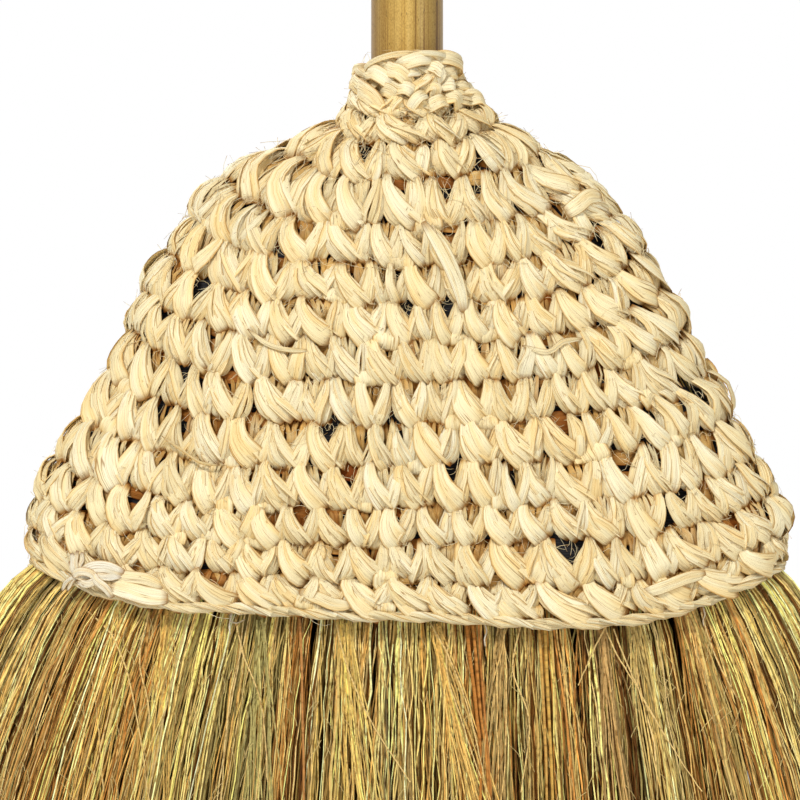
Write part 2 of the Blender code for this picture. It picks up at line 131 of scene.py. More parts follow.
# %% Helpers for materials
def start_material(name, roughness, specular=0.5):
    """A new material, its shader and a function that adds wired nodes to it. An input goes by
    its name, or as i0, i1 and so on by its number."""
    material = bpy.data.materials.new(name)
    material.use_nodes = True
    tree = material.node_tree
    shader = tree.nodes["Principled BSDF"]
    shader.inputs["Roughness"].default_value = roughness
    shader.inputs["Specular IOR Level"].default_value = specular

    def add(kind, settings=None, **inputs):
        node = tree.nodes.new("ShaderNode" + kind)
        for key, value in (settings or {}).items():
            setattr(node, key, value)
        for key, value in inputs.items():
            numbered = key[0] == "i" and key[1:].isdigit()
            socket = node.inputs[int(key[1:]) if numbered else key.replace("_", " ")]
            if isinstance(value, bpy.types.NodeSocket):
                tree.links.new(value, socket)
            else:
                socket.default_value = value
        return node

    return material, shader, add


def ramp(add, factor, *stops):
    """A colour ramp from (place, colour) stops."""
    node = add("ValToRGB", Fac=factor)
    elements = node.color_ramp.elements
    while len(elements) < len(stops):
        elements.new(0.5)
    for element, (place, colour) in zip(elements, stops):
        element.position = place
        element.color = (*colour, 1)
    return node.outputs["Color"]


def work_out(add, operation, first, second=0.0):
    """The result of a Math node."""
    return add("Math", {"operation": operation}, i0=first, i1=second).outputs[0]


def read(add, label, output="Fac"):
    """What a piece says at each of its points under a label."""
    return add("Attribute", {"attribute_name": label}).outputs[output]


def multiply(add, colour, layer, share=1.0):
    """A colour multiplied by a layer, wholly or by a share."""
    kind = {"data_type": "RGBA", "blend_type": "MULTIPLY"}
    return add("Mix", kind, i0=share, i6=colour, i7=layer).outputs[2]


def layered(add, colour, *layers):
    """A colour multiplied by one layer after the other."""
    for layer in layers:
        colour = multiply(add, colour, layer)
    return colour


def finish_surface(add, shader, colour, height, bump_strength, bump_depth):
    """Gives a shader its colour and its bump."""
    wire = shader.id_data.links.new
    wire(colour, shader.inputs["Base Color"])
    bump = add("Bump", Height=height, Strength=bump_strength, Distance=bump_depth)
    wire(bump.outputs[0], shader.inputs["Normal"])


def grey(level):
    return (level, level, level)


PLAIN = grey(1.0)
print("a layer of", PLAIN, "leaves a colour as it is")

# %% [markdown]
# ## Floor
# The broom stands on its tips on a plain pale floor. Near the broom the floor keeps its shadow,
# and further out it turns as white as the sky, so no horizon shows behind the object.

# %% Make the floor
FLOOR_RADIUS = 3.0
SHADE_REACH, WHITE_REACH = 0.45, 1.3

bpy.ops.object.select_all(action="DESELECT")
bpy.ops.mesh.primitive_circle_add(
    vertices=96, radius=FLOOR_RADIUS, fill_type="NGON", location=(0, 0, 0)
)
floor = bpy.context.object
floor.name = "floor"
floor_finish, shader, add = start_material("pale_floor", 0.9, specular=0.1)
shader.inputs["Base Color"].default_value = (0.86, 0.86, 0.86, 1)
place = add("TexCoord").outputs["Object"]
away = add("VectorMath", {"operation": "LENGTH"}, i0=place).outputs["Value"]
far = add("MapRange", Value=away, From_Min=SHADE_REACH, From_Max=WHITE_REACH).outputs["Result"]
lit = work_out(add, "MULTIPLY", far, add("LightPath").outputs["Is Camera Ray"])
white = add("Emission", Color=(1, 1, 1, 1), Strength=1.0)
mix = add("MixShader", i0=lit, i1=shader.outputs[0], i2=white.outputs[0])
surface = floor_finish.node_tree.nodes["Material Output"].inputs["Surface"]
floor_finish.node_tree.links.new(mix.outputs[0], surface)
floor.data.materials.append(floor_finish)
print("floor radius:", FLOOR_RADIUS, "m")

# %% [markdown]
# ## The shape of the cover
# The crochet hangs on an invisible form: fifteen rounds, each a level line that grows from the
# neck to the hem. In plan a level is a rounded oblong, and at the sides it rises, because the
# cover is pulled tight over the fan's edges.

# %% Lay out the cover's form
ROUNDS = 15
HANDLE_REACH = 12.9 * MM
NECK_HALF_WIDTH = 18.9 * MM
COVER_HALF_WIDTH = 135 * MM
COVER_HALF_DEPTH = 32 * MM
COVER_TOP_Z = 355.1 * MM
COVER_HEIGHT = 185.7 * MM
SIDE_RISE = 17.5 * MM
SIDE_RISE_POWER = 4.5
# Level, then shares of the drop from the neck, of the growth in width and in depth, and of the
# rise at the sides.
OUTLINE = np.array((
    (-1, -0.045, 0.000, -0.10, 0.00),
    (0, 0.000, 0.000, 0.000, 0.00),
    (1, 0.038, 0.021, 0.180, 0.16),
    (2, 0.075, 0.055, 0.366, 0.26),
    (3, 0.124, 0.124, 0.552, 0.34),
    (4, 0.192, 0.278, 0.664, 0.56),
    (5, 0.279, 0.412, 0.739, 0.94),
    (6, 0.354, 0.506, 0.800, 1.00),
    (8, 0.497, 0.665, 0.873, 1.00),
    (10, 0.654, 0.777, 0.925, 1.00),
    (12, 0.814, 0.897, 0.970, 1.00),
    (14, 0.946, 1.000, 1.000, 1.00),
    (15, 1.000, 0.983, 0.963, 1.00),
    (16, 1.054, 0.966, 0.930, 1.00),
))


def outline_at(level, column):
    """A share of the outline at a level, by its column in the table."""
    return np.interp(level, OUTLINE[:, 0], OUTLINE[:, column])


def half_width(level, inset):
    """Half the width of the form at a level, at an inset from the cover's face."""
    growth = COVER_HALF_WIDTH - NECK_HALF_WIDTH
    return NECK_HALF_WIDTH + growth * outline_at(level, 2) - inset


def half_depth(level, inset):
    """Half the depth of the form at a level, at an inset from the cover's face."""
    growth = COVER_HALF_DEPTH - NECK_HALF_WIDTH
    return NECK_HALF_WIDTH + growth * outline_at(level, 3) - inset


def height_at(level, across):
    """How high a level is at a share of its half width."""
    rise = SIDE_RISE * outline_at(level, 4) * np.abs(across) ** SIDE_RISE_POWER
    return COVER_TOP_Z - COVER_HEIGHT * outline_at(level, 1) + rise


def roundness(level):
    """The power of the oblong that a level makes: 2 is an ellipse, more is nearer a rectangle."""
    return 2 + 0.6 * outline_at(level, 2)


print("half width at the neck and the hem:", half_width(0, 0), half_width(ROUNDS, 0))

# %% [markdown]
# A cover worked by hand is not even. Its rounds sag and rise a little across the front, and their
# ends stand in and out. Small tables, read off the picture, bend the even form to the real one.

# %% Make the form uneven
# How far each level stands above the even form, in millimetres, at these places across the front.
UNEVEN_X = (-135, -100, -55, -20, 15, 45, 65, 85, 108, 135)
UNEVEN = {
    8: (0, 0, 0, 0, 0, 0, 0, 0, 0, 0),
    11: (0, 0, 0, 0, 0.5, 1.8, 2.6, 1.6, 0, 0),
    13: (0, 0, 0.8, 0, 0.2, 1.5, 1.0, 0.5, 0, 0),
    14: (1.2, 0.5, 1.5, 0, -0.5, -2.2, -3.0, -2.6, -0.5, 0),
    15: (2.6, 0.8, 2.2, 0.2, -0.5, -3.0, -3.4, -3.0, -0.8, 0),
}
UNEVEN_BEHIND = -0.6
# How far the ends of the levels lie inside the even form, in millimetres.
NARROW_LEFT = (
    (0, 1, 2, 3, 3.6, 4, 4.4, 5.0, 5.4, 5.8, 6.1, 7.0, 8.2, 9.4, 10.2, 11.2, 12.0, 12.8, 13.4, 14.2),
    (2.0, 3.5, 6.0, 9.0, 8.5, 5.0, 0, -1.5, -3.5, -2.5, 1.0, 0, 1.5, 3.2, 1.8, -0.5, -3.0, -3.2, -1.2, 0),
)
NARROW_RIGHT = (
    (0, 1, 2, 3.6, 4, 4.4, 4.7, 5, 5.3, 5.7, 6.1, 7.0, 7.9, 8.4, 9.0, 9.9, 10.4, 10.9, 12.0, 13.6, 14.2),
    (2.0, 1.5, 0, 0, 1.5, 5.5, 5.0, 0.5, 1.0, 3.2, 0, 1.0, 4.0, 0.5, 2.5, 2.8, -1.5, 1.0, -1.8, -2.2, 0),
)


def unevenness(level, x, y):
    """How much higher than the even form a point lies. The back is uneven the other way."""
    offset = 0
    for row, heights in enumerate(UNEVEN.values()):
        near = np.interp(level, list(UNEVEN), np.eye(len(UNEVEN))[row])
        offset = offset + near * np.interp(x / MM, UNEVEN_X, heights)
    return offset * MM * np.where(y < 0, 1.0, UNEVEN_BEHIND)


def narrowed(level, x):
    """The x of a point of a level, drawn in where the real cover is narrower."""
    left, right = np.interp(level, *NARROW_LEFT), np.interp(level, *NARROW_RIGHT)
    return x - np.sign(x) * np.where(x < 0, left, right) * MM * (x / half_width(level, 0)) ** 2


print("levels that sag or rise:", list(UNEVEN))

# %% [markdown]
# A table of points over this form, evenly spaced along each level, lets a stitch be placed by its
# round and its share of the way round. Two more tables give the steps down and around there.

# %% Tabulate the form
MID_INSET = 3.4 * MM
LEVEL_STEP = 0.1
TABLE_LEVELS = np.arange(-1, 16 + LEVEL_STEP / 2, LEVEL_STEP)
COLUMNS = 720


def form_table(inset, levels, columns):
    """Points on the form at an inset, evenly spaced along each level from the middle of the back,
    round by the left side and the front."""
    fine = np.linspace(0.25, 1.25, 4 * columns + 1) * 2 * math.pi
    table = np.empty((len(levels), columns + 1, 3))
    for row, level in enumerate(levels):
        power = 2 / roundness(level)
        across = np.sign(np.cos(fine)) * np.abs(np.cos(fine)) ** power
        through = np.sign(np.sin(fine)) * np.abs(np.sin(fine)) ** power
        ring = np.stack((
            half_width(level, inset) * across,
            half_depth(level, inset) * through,
            height_at(level, across),
        ), axis=1)
        ring[:, 2] += unevenness(level, ring[:, 0], ring[:, 1]) * np.clip(np.abs(through) * 2, 0, 1)
        run = np.concatenate(([0], np.cumsum(np.linalg.norm(np.diff(ring, axis=0), axis=1))))
        even = np.linspace(0, run[-1], columns + 1)
        for axis in range(3):
            table[row, :, axis] = np.interp(even, run, ring[:, axis])
        table[row, :, 0] = narrowed(level, table[row, :, 0])
    return table


FORM = form_table(MID_INSET, TABLE_LEVELS, COLUMNS)
AROUND = (np.roll(FORM[:, :-1], -1, axis=1) - np.roll(FORM[:, :-1], 1, axis=1)) * COLUMNS / 2
AROUND = np.concatenate((AROUND, AROUND[:, :1]), axis=1)
DOWN = np.gradient(FORM, LEVEL_STEP, axis=0)
OUTWARD = np.cross(DOWN, AROUND)
OUTWARD /= np.linalg.norm(OUTWARD, axis=2, keepdims=True)
print("points in the form's table:", FORM.shape[:2])

# %% Read the tables
def read_table(table, level, share):
    """A table's value between its points."""
    row = np.clip((level - TABLE_LEVELS[0]) / LEVEL_STEP, 0, len(TABLE_LEVELS) - 1.001)
    column = np.mod(share, 1.0) * COLUMNS
    top, left = row.astype(int), column.astype(int)
    down, right = (row - top)[..., None], (column - left)[..., None]
    upper = table[top, left] * (1 - right) + table[top, left + 1] * right
    lower = table[top + 1, left] * (1 - right) + table[top + 1, left + 1] * right
    return upper * (1 - down) + lower * down


def on_cover(level, share, out):
    """Points that lie a length out from the form, and the outward directions there."""
    outward = read_table(OUTWARD, level, share)
    outward /= np.linalg.norm(outward, axis=-1, keepdims=True)
    return read_table(FORM, level, share) + outward * np.asarray(out)[..., None], outward


ROUND_LENGTHS = [
    float(np.linalg.norm(read_table(AROUND, np.array(number + 0.5), np.array(0.5))))
    for number in range(ROUNDS)
]
print("round lengths in mm:", [round(length / MM) for length in ROUND_LENGTHS])

# %% [markdown]
# ## A strip to lay
# Raffia is the skin of a palm leaf, torn into strips and folded in the hand. One strip is modelled
# here as a cylinder with few sides, cut across its length and pressed flat. Every leg, hump and
# twist below is this strip, laid along a path of guide points. With three sides and no pressing it
# is also the rod of a grass stalk or a hair.

# %% Model a strip
def model_strip(sides, segments, back, flat=1.0):
    """A unit strip along Z. Its front is full and its back is pressed to a share of that. With
    flat under 1 its front is level like a ribbon's and drops at the sides."""
    bpy.ops.object.select_all(action="DESELECT")
    bpy.ops.mesh.primitive_cylinder_add(vertices=sides, radius=1, depth=1, location=(0, 0, 0))
    strip = bpy.context.object
    if sides % 4:
        strip.rotation_euler.z = math.pi / 6
        bpy.ops.object.transform_apply(location=False, rotation=True, scale=False)
    bpy.ops.object.mode_set(mode="EDIT")
    body = bmesh.from_edit_mesh(strip.data)
    for edge in body.edges:
        edge.select_set(abs(edge.verts[0].co.z - edge.verts[1].co.z) > 0.5)
    bmesh.update_edit_mesh(strip.data)
    bpy.ops.mesh.subdivide(number_cuts=segments - 1)
    bpy.ops.object.mode_set(mode="OBJECT")
    mesh = strip.data
    points = np.empty(len(mesh.vertices) * 3)
    mesh.vertices.foreach_get("co", points)
    points = points.reshape(-1, 3)
    corners = np.empty(len(mesh.loops), dtype=int)
    mesh.loops.foreach_get("vertex_index", corners)
    starts = np.empty(len(mesh.polygons), dtype=int)
    mesh.polygons.foreach_get("loop_start", starts)
    points[:, 1] = np.sign(points[:, 1]) * np.abs(points[:, 1]) ** flat
    points[:, 1] = np.where(points[:, 1] < 0, points[:, 1] * back, points[:, 1])
    model = {
        "ring": np.rint((points[:, 2] + 0.5) * segments).astype(int),
        "across": points[:, 0].copy(),
        "proud": points[:, 1].copy(),
        "corners": corners,
        "starts": starts,
        "rings": segments + 1,
    }
    bpy.data.objects.remove(strip, do_unlink=True)
    bpy.data.meshes.remove(mesh)
    return model


LEG = model_strip(sides=6, segments=8, back=0.4)
LEAF = model_strip(sides=12, segments=8, back=0.5, flat=0.6)
BACKING = model_strip(sides=4, segments=4, back=0.5)
HAIR = model_strip(sides=3, segments=5, back=1.0)
print("a leg strip has", len(LEG["across"]), "points")

# %% [markdown]
# To lay a strip, a smooth curve is drawn through its guide points, and each of the strip's rings
# is placed on it, wide across the curve and thin along the outward direction. Hundreds of strips
# are laid at once with arrays, because one operator call for each would take hours.

# %% Sweep strips along guides
def smooth_weights(guides, rings):
    """How much each guide point counts at each ring of a smooth curve through all of them."""
    weights = np.zeros((rings, guides))
    for ring, place in enumerate(np.linspace(0, guides - 1, rings)):
        span = min(int(place), guides - 2)
        f = place - span
        parts = (
            (-f + 2 * f ** 2 - f ** 3) / 2,
            (2 - 5 * f ** 2 + 3 * f ** 3) / 2,
            (f + 4 * f ** 2 - 3 * f ** 3) / 2,
            (f ** 3 - f ** 2) / 2,
        )
        for guide, part in zip(range(span - 1, span + 3), parts):
            weights[ring, min(max(guide, 0), guides - 1)] += part
    return weights


def unit(vectors):
    return vectors / np.maximum(np.linalg.norm(vectors, axis=-1, keepdims=True), 1e-12)


def sweep(model, centres, outward, widths, thicknesses, roll, pleat=0.0):
    """Places of a model's points when each copy follows its own row of centres. Pleats up to a
    given depth run along a copy, each with its own number of folds."""
    ahead = unit(np.gradient(centres, axis=1))
    side = unit(np.cross(outward, ahead))
    front = np.cross(ahead, side)
    turn_cos, turn_sin = np.cos(roll)[..., None], np.sin(roll)[..., None]
    side, front = side * turn_cos + front * turn_sin, front * turn_cos - side * turn_sin
    ring = model["ring"]
    proud = thicknesses[:, ring] * model["proud"]
    if pleat:
        each = (len(centres), 1)
        folds = chance.uniform(5.0, 11.0, each) * model["across"]
        turn = chance.uniform(0, FULL_TURN, each) + chance.normal(0, 0.12, each) * ring
        proud = proud + pleat * np.sin(folds + turn) * np.minimum(widths[:, ring] / widths.max(), 1)
    return (
        centres[:, ring]
        + side[:, ring] * (widths[:, ring] * model["across"])[..., None]
        + front[:, ring] * proud[..., None]
    )


print("weights of 3 guides at 5 rings:", smooth_weights(3, 5).round(2).tolist())

# %% Make one piece out of many strips
def make_piece(name, parts, finish, slot, *nodes):
    """One object out of swept strips, which rides on the broom. A part is its model, the places
    of its points, a tint for each strip and, if some of it lies deep, how deep each ring lies."""
    mesh = bpy.data.meshes.new(name)
    places, corners, starts, across, along, tint, sunk = [], [], [], [], [], [], []
    points_before = corners_before = 0
    for model, strips, tints, *depths in parts:
        copies, count = strips.shape[:2]
        order = np.arange(copies)[:, None]
        places.append(strips.reshape(-1, 3))
        corners.append((model["corners"] + count * order + points_before).ravel())
        starts.append((model["starts"] + len(model["corners"]) * order + corners_before).ravel())
        across.append(np.tile(model["across"], copies))
        along.append(np.tile(model["ring"] / (model["rings"] - 1), copies))
        tint.append(np.repeat(tints, count))
        sunk.append(depths[0][:, model["ring"]].ravel() if depths else np.zeros(copies * count))
        points_before += copies * count
        corners_before += copies * len(model["corners"])
    places, corners, starts = map(np.concatenate, (places, corners, starts))
    mesh.vertices.add(len(places))
    mesh.vertices.foreach_set("co", places.ravel())
    mesh.loops.add(len(corners))
    mesh.loops.foreach_set("vertex_index", corners)
    mesh.polygons.add(len(starts))
    mesh.polygons.foreach_set("loop_start", starts)
    mesh.update(calc_edges=True)
    mesh.validate()
    mesh.shade_smooth()
    mesh.set_sharp_from_angle(angle=math.radians(65))
    for label, values in (("across", across), ("along", along), ("tint", tint), ("sunk", sunk)):
        layer = mesh.attributes.new(label, "FLOAT", "POINT")
        layer.data.foreach_set("value", np.concatenate(values))
    piece = bpy.data.objects.new(name, mesh)
    bpy.context.scene.collection.objects.link(piece)
    mesh.materials.append(finish)
    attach(piece, "root")
    if nodes:
        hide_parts(*nodes)
    return piece


# %% [markdown]
# ## Raffia
# Each strip carries four numbers that its finish reads: how far across it a point lies, how far
# along, how deep under the face of the cover, and a tint of its own. Long thin creases follow the
# strip as thin lines of painted shade. Painted shade also darkens its edges, its two ends, where
# they dive under other strips, and its points that lie deep under the face of the cover. No two
# strips have quite the same straw colour. Noise that is stretched along the strip draws the creases
# without any image.

# %% Make the raffia finish
# The brown of the painted shade at the ends of a strip, where it dives under its neighbours.
TUCKED_SHADE_BROWN = (0.42, 0.25, 0.11)


def raffia_finish(name, pale, mid, tan):
    """Raffia in three colours, from its palest strips to its tannest."""
    material, shader, add = start_material(name, 0.58, specular=0.15)
    across, along, tint, sunk = (read(add, label) for label in ("across", "along", "tint", "sunk"))
    apart = work_out(add, "MULTIPLY", tint, 91.7)

    def streaks(wide, long, detail):
        side = work_out(add, "MULTIPLY", across, wide)
        run = work_out(add, "MULTIPLY", along, long)
        place = add("CombineXYZ", i0=side, i1=run, i2=apart).outputs[0]
        noise = add("TexNoise", Vector=place, Scale=1.0, Detail=detail, Roughness=0.6)
        return noise.outputs["Fac"]

    fine, broad, folds = streaks(9.0, 1.2, 2.0), streaks(1.1, 0.9, 1.0), streaks(4.6, 0.30, 0.0)
    base = ramp(add, tint, (0.0, pale), (0.45, mid), (0.75, mid), (1.0, tan))
    blush = ramp(add, broad, (0.35, (1.0, 0.90, 0.74)), (0.5, PLAIN), (0.7, (1.02, 1.04, 1.12)))
    # Painted shade: a fold shows as a thin dark line where the slow noise crosses a level.
    crease_shade = ramp(
        add, folds,
        (0.0, PLAIN), (0.400, PLAIN), (0.412, (0.38, 0.23, 0.11)), (0.424, PLAIN),
        (0.500, PLAIN), (0.510, (0.56, 0.39, 0.22)), (0.520, PLAIN),
        (0.600, PLAIN), (0.612, (0.44, 0.28, 0.14)), (0.624, PLAIN),
    )
    fibre = ramp(add, fine, (0.28, (0.80, 0.69, 0.54)), (0.42, PLAIN), (0.75, grey(1.05)))
    # Painted shade along both edges of a strip, where it meets the strips beside it.
    edge = ramp(
        add, work_out(add, "ABSOLUTE", across),
        (0.0, PLAIN), (0.84, PLAIN), (0.97, (0.66, 0.49, 0.30)), (1.0, (0.38, 0.23, 0.10)),
    )
    # Painted shade at both ends of a strip, where it dives under its neighbours.
    tucked_shade = ramp(add, along, (0.0, TUCKED_SHADE_BROWN), (0.16, PLAIN), (0.86, PLAIN), (1.0, TUCKED_SHADE_BROWN))
    # Painted shade: points that lie deep under the face of the cover are painted darker and browner.
    shade = ramp(add, sunk, (0.15, PLAIN), (0.5, (0.86, 0.65, 0.38)), (1.0, (0.42, 0.19, 0.05)))
    colour = layered(add, base, blush, crease_shade, fibre, edge, tucked_shade, shade)
    finish_surface(add, shader, colour, work_out(add, "ADD", fine, folds), 0.65, 0.6 * MM)
    return material


RAFFIA = raffia_finish("raffia", (0.98, 0.885, 0.59), (0.955, 0.80, 0.45), (0.62, 0.34, 0.12))
PALE_RAFFIA = raffia_finish(
    "pale_raffia", (0.97, 0.90, 0.70), (0.94, 0.82, 0.56), (0.85, 0.66, 0.38)
)
print("finishes:", RAFFIA.name, PALE_RAFFIA.name)

# %% [markdown]
# ## Stitches
# A stitch of this crochet is a V. Its left leg is a broad leaf of folded raffia that starts at a
# point under the round above, swells, and wraps round the foot of the V. Its right leg is
# narrower and goes behind the left one at the foot. A small hump often fills the dip between two
# feet, and tan strands show in the notch: their tan is partly their own and partly painted shade.
# Guide points are given as (across, down, out): across in stitch widths, down in rounds, and out
# in millimetres.

# %% Guides of the legs
def fan_of(count, first, last):
    """Guides of strips spread evenly between the first and the last one, which are both given."""
    first, last = np.array(first), np.array(last)
    return first + (last - first) * np.linspace(0, 1, count)[:, None, None]


# A leg comes in two forms. In a slanting stitch the left leg sweeps across and covers the foot.
# In an upright one both legs share it.
LEFT_SLANTING = fan_of(
    4,
    ((-0.43, -0.10, -0.9), (-0.52, 0.18, 1.3), (-0.48, 0.52, 2.0), (-0.33, 0.84, 1.9), (-0.08, 1.06, -0.6)),
    ((-0.40, -0.10, -0.9), (-0.35, 0.14, 1.2), (-0.10, 0.43, 2.2), (0.29, 0.72, 2.0), (0.54, 0.96, -0.4)),
)
LEFT_UPRIGHT = fan_of(
    4,
    ((-0.42, -0.10, -0.9), (-0.53, 0.20, 1.2), (-0.52, 0.52, 1.9), (-0.40, 0.82, 1.8), (-0.14, 1.05, -0.6)),
    ((-0.40, -0.10, -0.9), (-0.34, 0.16, 1.2), (-0.19, 0.48, 2.1), (0.01, 0.79, 2.0), (0.26, 1.03, -0.6)),
)
RIGHT_SLANTING = fan_of(
    3,
    ((0.40, -0.10, -0.9), (0.34, 0.15, 1.1), (0.23, 0.44, 1.8), (0.14, 0.74, 1.4), (0.15, 1.01, -0.6)),
    ((0.42, -0.10, -0.9), (0.54, 0.20, 1.2), (0.54, 0.48, 1.6), (0.48, 0.76, 1.1), (0.40, 0.98, -0.8)),
)
RIGHT_UPRIGHT = fan_of(
    3,
    ((0.40, -0.10, -0.9), (0.33, 0.17, 1.1), (0.19, 0.48, 2.0), (0.03, 0.80, 1.9), (-0.09, 1.05, -0.6)),
    ((0.42, -0.10, -0.9), (0.54, 0.20, 1.3), (0.54, 0.50, 1.9), (0.46, 0.80, 1.7), (0.22, 1.05, -0.6)),
)
print("strips in the two legs:", len(LEFT_SLANTING) + len(RIGHT_SLANTING))

# %% Guides of the leaves and of what fills the stitch
# One broad leaf often lies over the strips of a leg, and one is a hump.
LEAF_LEFT_SLANTING = np.array([(
    (-0.405, -0.12, -0.6), (-0.42, 0.18, 2.0), (-0.28, 0.52, 3.0), (-0.02, 0.83, 2.7), (0.25, 1.05, -0.3),
)])
LEAF_LEFT_UPRIGHT = np.array([(
    (-0.405, -0.12, -0.6), (-0.435, 0.18, 2.0), (-0.35, 0.52, 3.0), (-0.175, 0.83, 2.7), (0.06, 1.06, -0.4),
)])
LEAF_RIGHT_SLANTING = np.array([(
    (0.40, -0.12, -0.6), (0.43, 0.18, 1.7), (0.38, 0.48, 2.3), (0.305, 0.76, 1.8), (0.26, 1.00, -0.6),
)])
LEAF_RIGHT_UPRIGHT = np.array([(
    (0.40, -0.12, -0.6), (0.43, 0.18, 1.8), (0.365, 0.50, 2.6), (0.25, 0.80, 2.4), (0.09, 1.05, -0.6),
)])
HUMP = np.array([(
    (0.51, 0.62, -0.4), (0.51, 0.78, 0.9), (0.51, 0.94, 1.4), (0.51, 1.09, 0.9), (0.51, 1.20, -0.8),
)])
# Strands in the notch of the V, and two broad strips that run along the round inside it.
NOTCH = fan_of(
    5,
    ((-0.30, -0.14, -1.0), (-0.22, 0.25, -0.4), (-0.06, 0.75, -1.2)),
    ((0.30, -0.14, -1.0), (0.24, 0.25, -0.4), (0.14, 0.75, -1.2)),
)
CORE = fan_of(
    2,
    ((-0.60, 0.12, -2.2), (0.0, 0.09, -1.9), (0.60, 0.12, -2.2)),
    ((-0.60, 0.62, -2.2), (0.0, 0.60, -1.9), (0.60, 0.62, -2.2)),
)
print("strips in the notch:", len(NOTCH))

# %% Set the sizes of the strips
# The model, slanting and upright guides, half width in stitch widths, thickness in millimetres,
# roll at the sides in degrees, tint low and high, and how much the strips bulge in the middle.
STRIP_SETS = {
    "left": (LEG, LEFT_SLANTING, LEFT_UPRIGHT, 0.150, 0.34, 34, 0.00, 0.62, 0.9),
    "right": (LEG, RIGHT_SLANTING, RIGHT_UPRIGHT, 0.140, 0.32, 36, 0.00, 0.62, 0.7),
    "leaf_left": (LEAF, LEAF_LEFT_SLANTING, LEAF_LEFT_UPRIGHT, 0.325, 0.42, 0, 0.00, 0.60, 0.0),
    "leaf_right": (LEAF, LEAF_RIGHT_SLANTING, LEAF_RIGHT_UPRIGHT, 0.225, 0.38, 0, 0.00, 0.60, 0.0),
    "hump": (LEAF, HUMP, HUMP, 0.340, 0.50, 0, 0.10, 0.70, 0.0),
    # The notch and core strips lie deep and lean to tan: partly the colour of the inner raffia, and partly
    # painted shade of the notch.
    "notch": (BACKING, NOTCH, NOTCH, 0.075, 0.30, 20, 0.20, 1.00, 0.3),
    "core": (BACKING, CORE, CORE, 0.210, 0.40, 0, 0.60, 1.00, 0.0),
}
# The share of the stitches that have a leaf, in the last round and in the others.
LEAF_ODDS = {"leaf_left": 0.80, "leaf_right": 0.65}
LAST_LEAF_ODDS = {"leaf_left": 1.0, "leaf_right": 0.30}
# The share that have what fills them, and where it lies in the stitch, across and down.
FILLINGS = {"hump": (0.22, 0.5, 0.95), "notch": (0.97, 0.0, 0.20), "core": (0.99, 0.0, 0.40)}
print("strips in a full stitch:", sum(len(sizes[1]) for sizes in STRIP_SETS.values()))

# %% [markdown]
# ## Gaps
# The crochet is loose. In some places nothing fills the gap between the stitches, and the black
# cloth shows. The largest gaps are where the real cover has them. A place in the picture is
# found on the form by looking for the point of its front that lies behind it.

# %% Find places of the picture on the form
MM_PER_PIXEL = 0.35
# The pixels of the handle's middle and of the hem, and the hem's height in millimetres.
MIDDLE_COLUMN = 407
HEM_ROW, HEM_HEIGHT = 619, 165
GAPS = (
    (226, 217), (249, 196), (300, 162), (370, 144), (435, 141), (407, 175), (436, 174), (469, 172),
    (440, 220), (281, 212), (560, 210), (480, 217), (602, 247), (441, 300), (399, 304), (371, 262),
    (386, 277), (365, 304), (314, 270), (202, 285), (365, 111), (439, 397), (680, 495), (72, 535),
    (148, 425), (190, 372), (612, 448), (745, 445), (555, 418), (655, 418), (500, 250), (452, 463),
    (330, 430), (570, 560), (245, 405), (700, 405),
)


def behind_pixels(columns, rows):
    """The x and z of what lies behind pixels of the picture."""
    x = (columns - MIDDLE_COLUMN) * MM_PER_PIXEL * MM
    return x, (HEM_HEIGHT + (HEM_ROW - rows) * MM_PER_PIXEL) * MM


def behind_picture(column, row):
    """The level and the share of the way round that lie behind a pixel of the picture."""
    x, z = behind_pixels(column, row)
    front = FORM[:, COLUMNS // 4 : 3 * COLUMNS // 4]
    miss = (front[..., 0] - x) ** 2 + (front[..., 2] - z) ** 2
    level, turn = np.unravel_index(np.argmin(miss), miss.shape)
    return TABLE_LEVELS[level], (turn + COLUMNS // 4) / COLUMNS


GAP_PLACES = np.array([behind_picture(*pixel) for pixel in GAPS])
print("gaps:", len(GAP_PLACES))

# %% [markdown]
# ## Rounds
# A round is one row of stitches, each a little different in place, lean, form and tone, as hands
# make them. The stitches shift a little so that the gaps come where they should. Each round is a
# piece of its own, so that no piece grows too large.

# %% Place the stitches of a round
STITCH_WIDTH = 11.6 * MM
LAST_ROUND = ROUNDS - 1


def looseness(number):
    """How much wider a round's stitches are than usual. The neck is worked most loosely."""
    return np.interp(number, (0, 2, 5, 12, 14), (1.5, 1.3, 1.0, 1.0, 1.18))


def stitch_count(number):
    return max(6, round(ROUND_LENGTHS[number] / STITCH_WIDTH / looseness(number)))


def open_at_gaps(number, share):
    """Shifts the stitches of a round so that a notch, or a dip between two feet, is at each gap."""
    count = len(share)
    moved = share.copy()
    for level, place in GAP_PLACES:
        if -0.15 < level - number < 0.5:
            across = 0.0
        elif 0.55 < level - number < 1.2:
            across = 0.5
        else:
            continue
        off = (place - share - across / count + 0.5) % 1 - 0.5
        moved += off[np.argmin(np.abs(off))] * np.exp(-(off * count / 1.3) ** 2)
    return moved


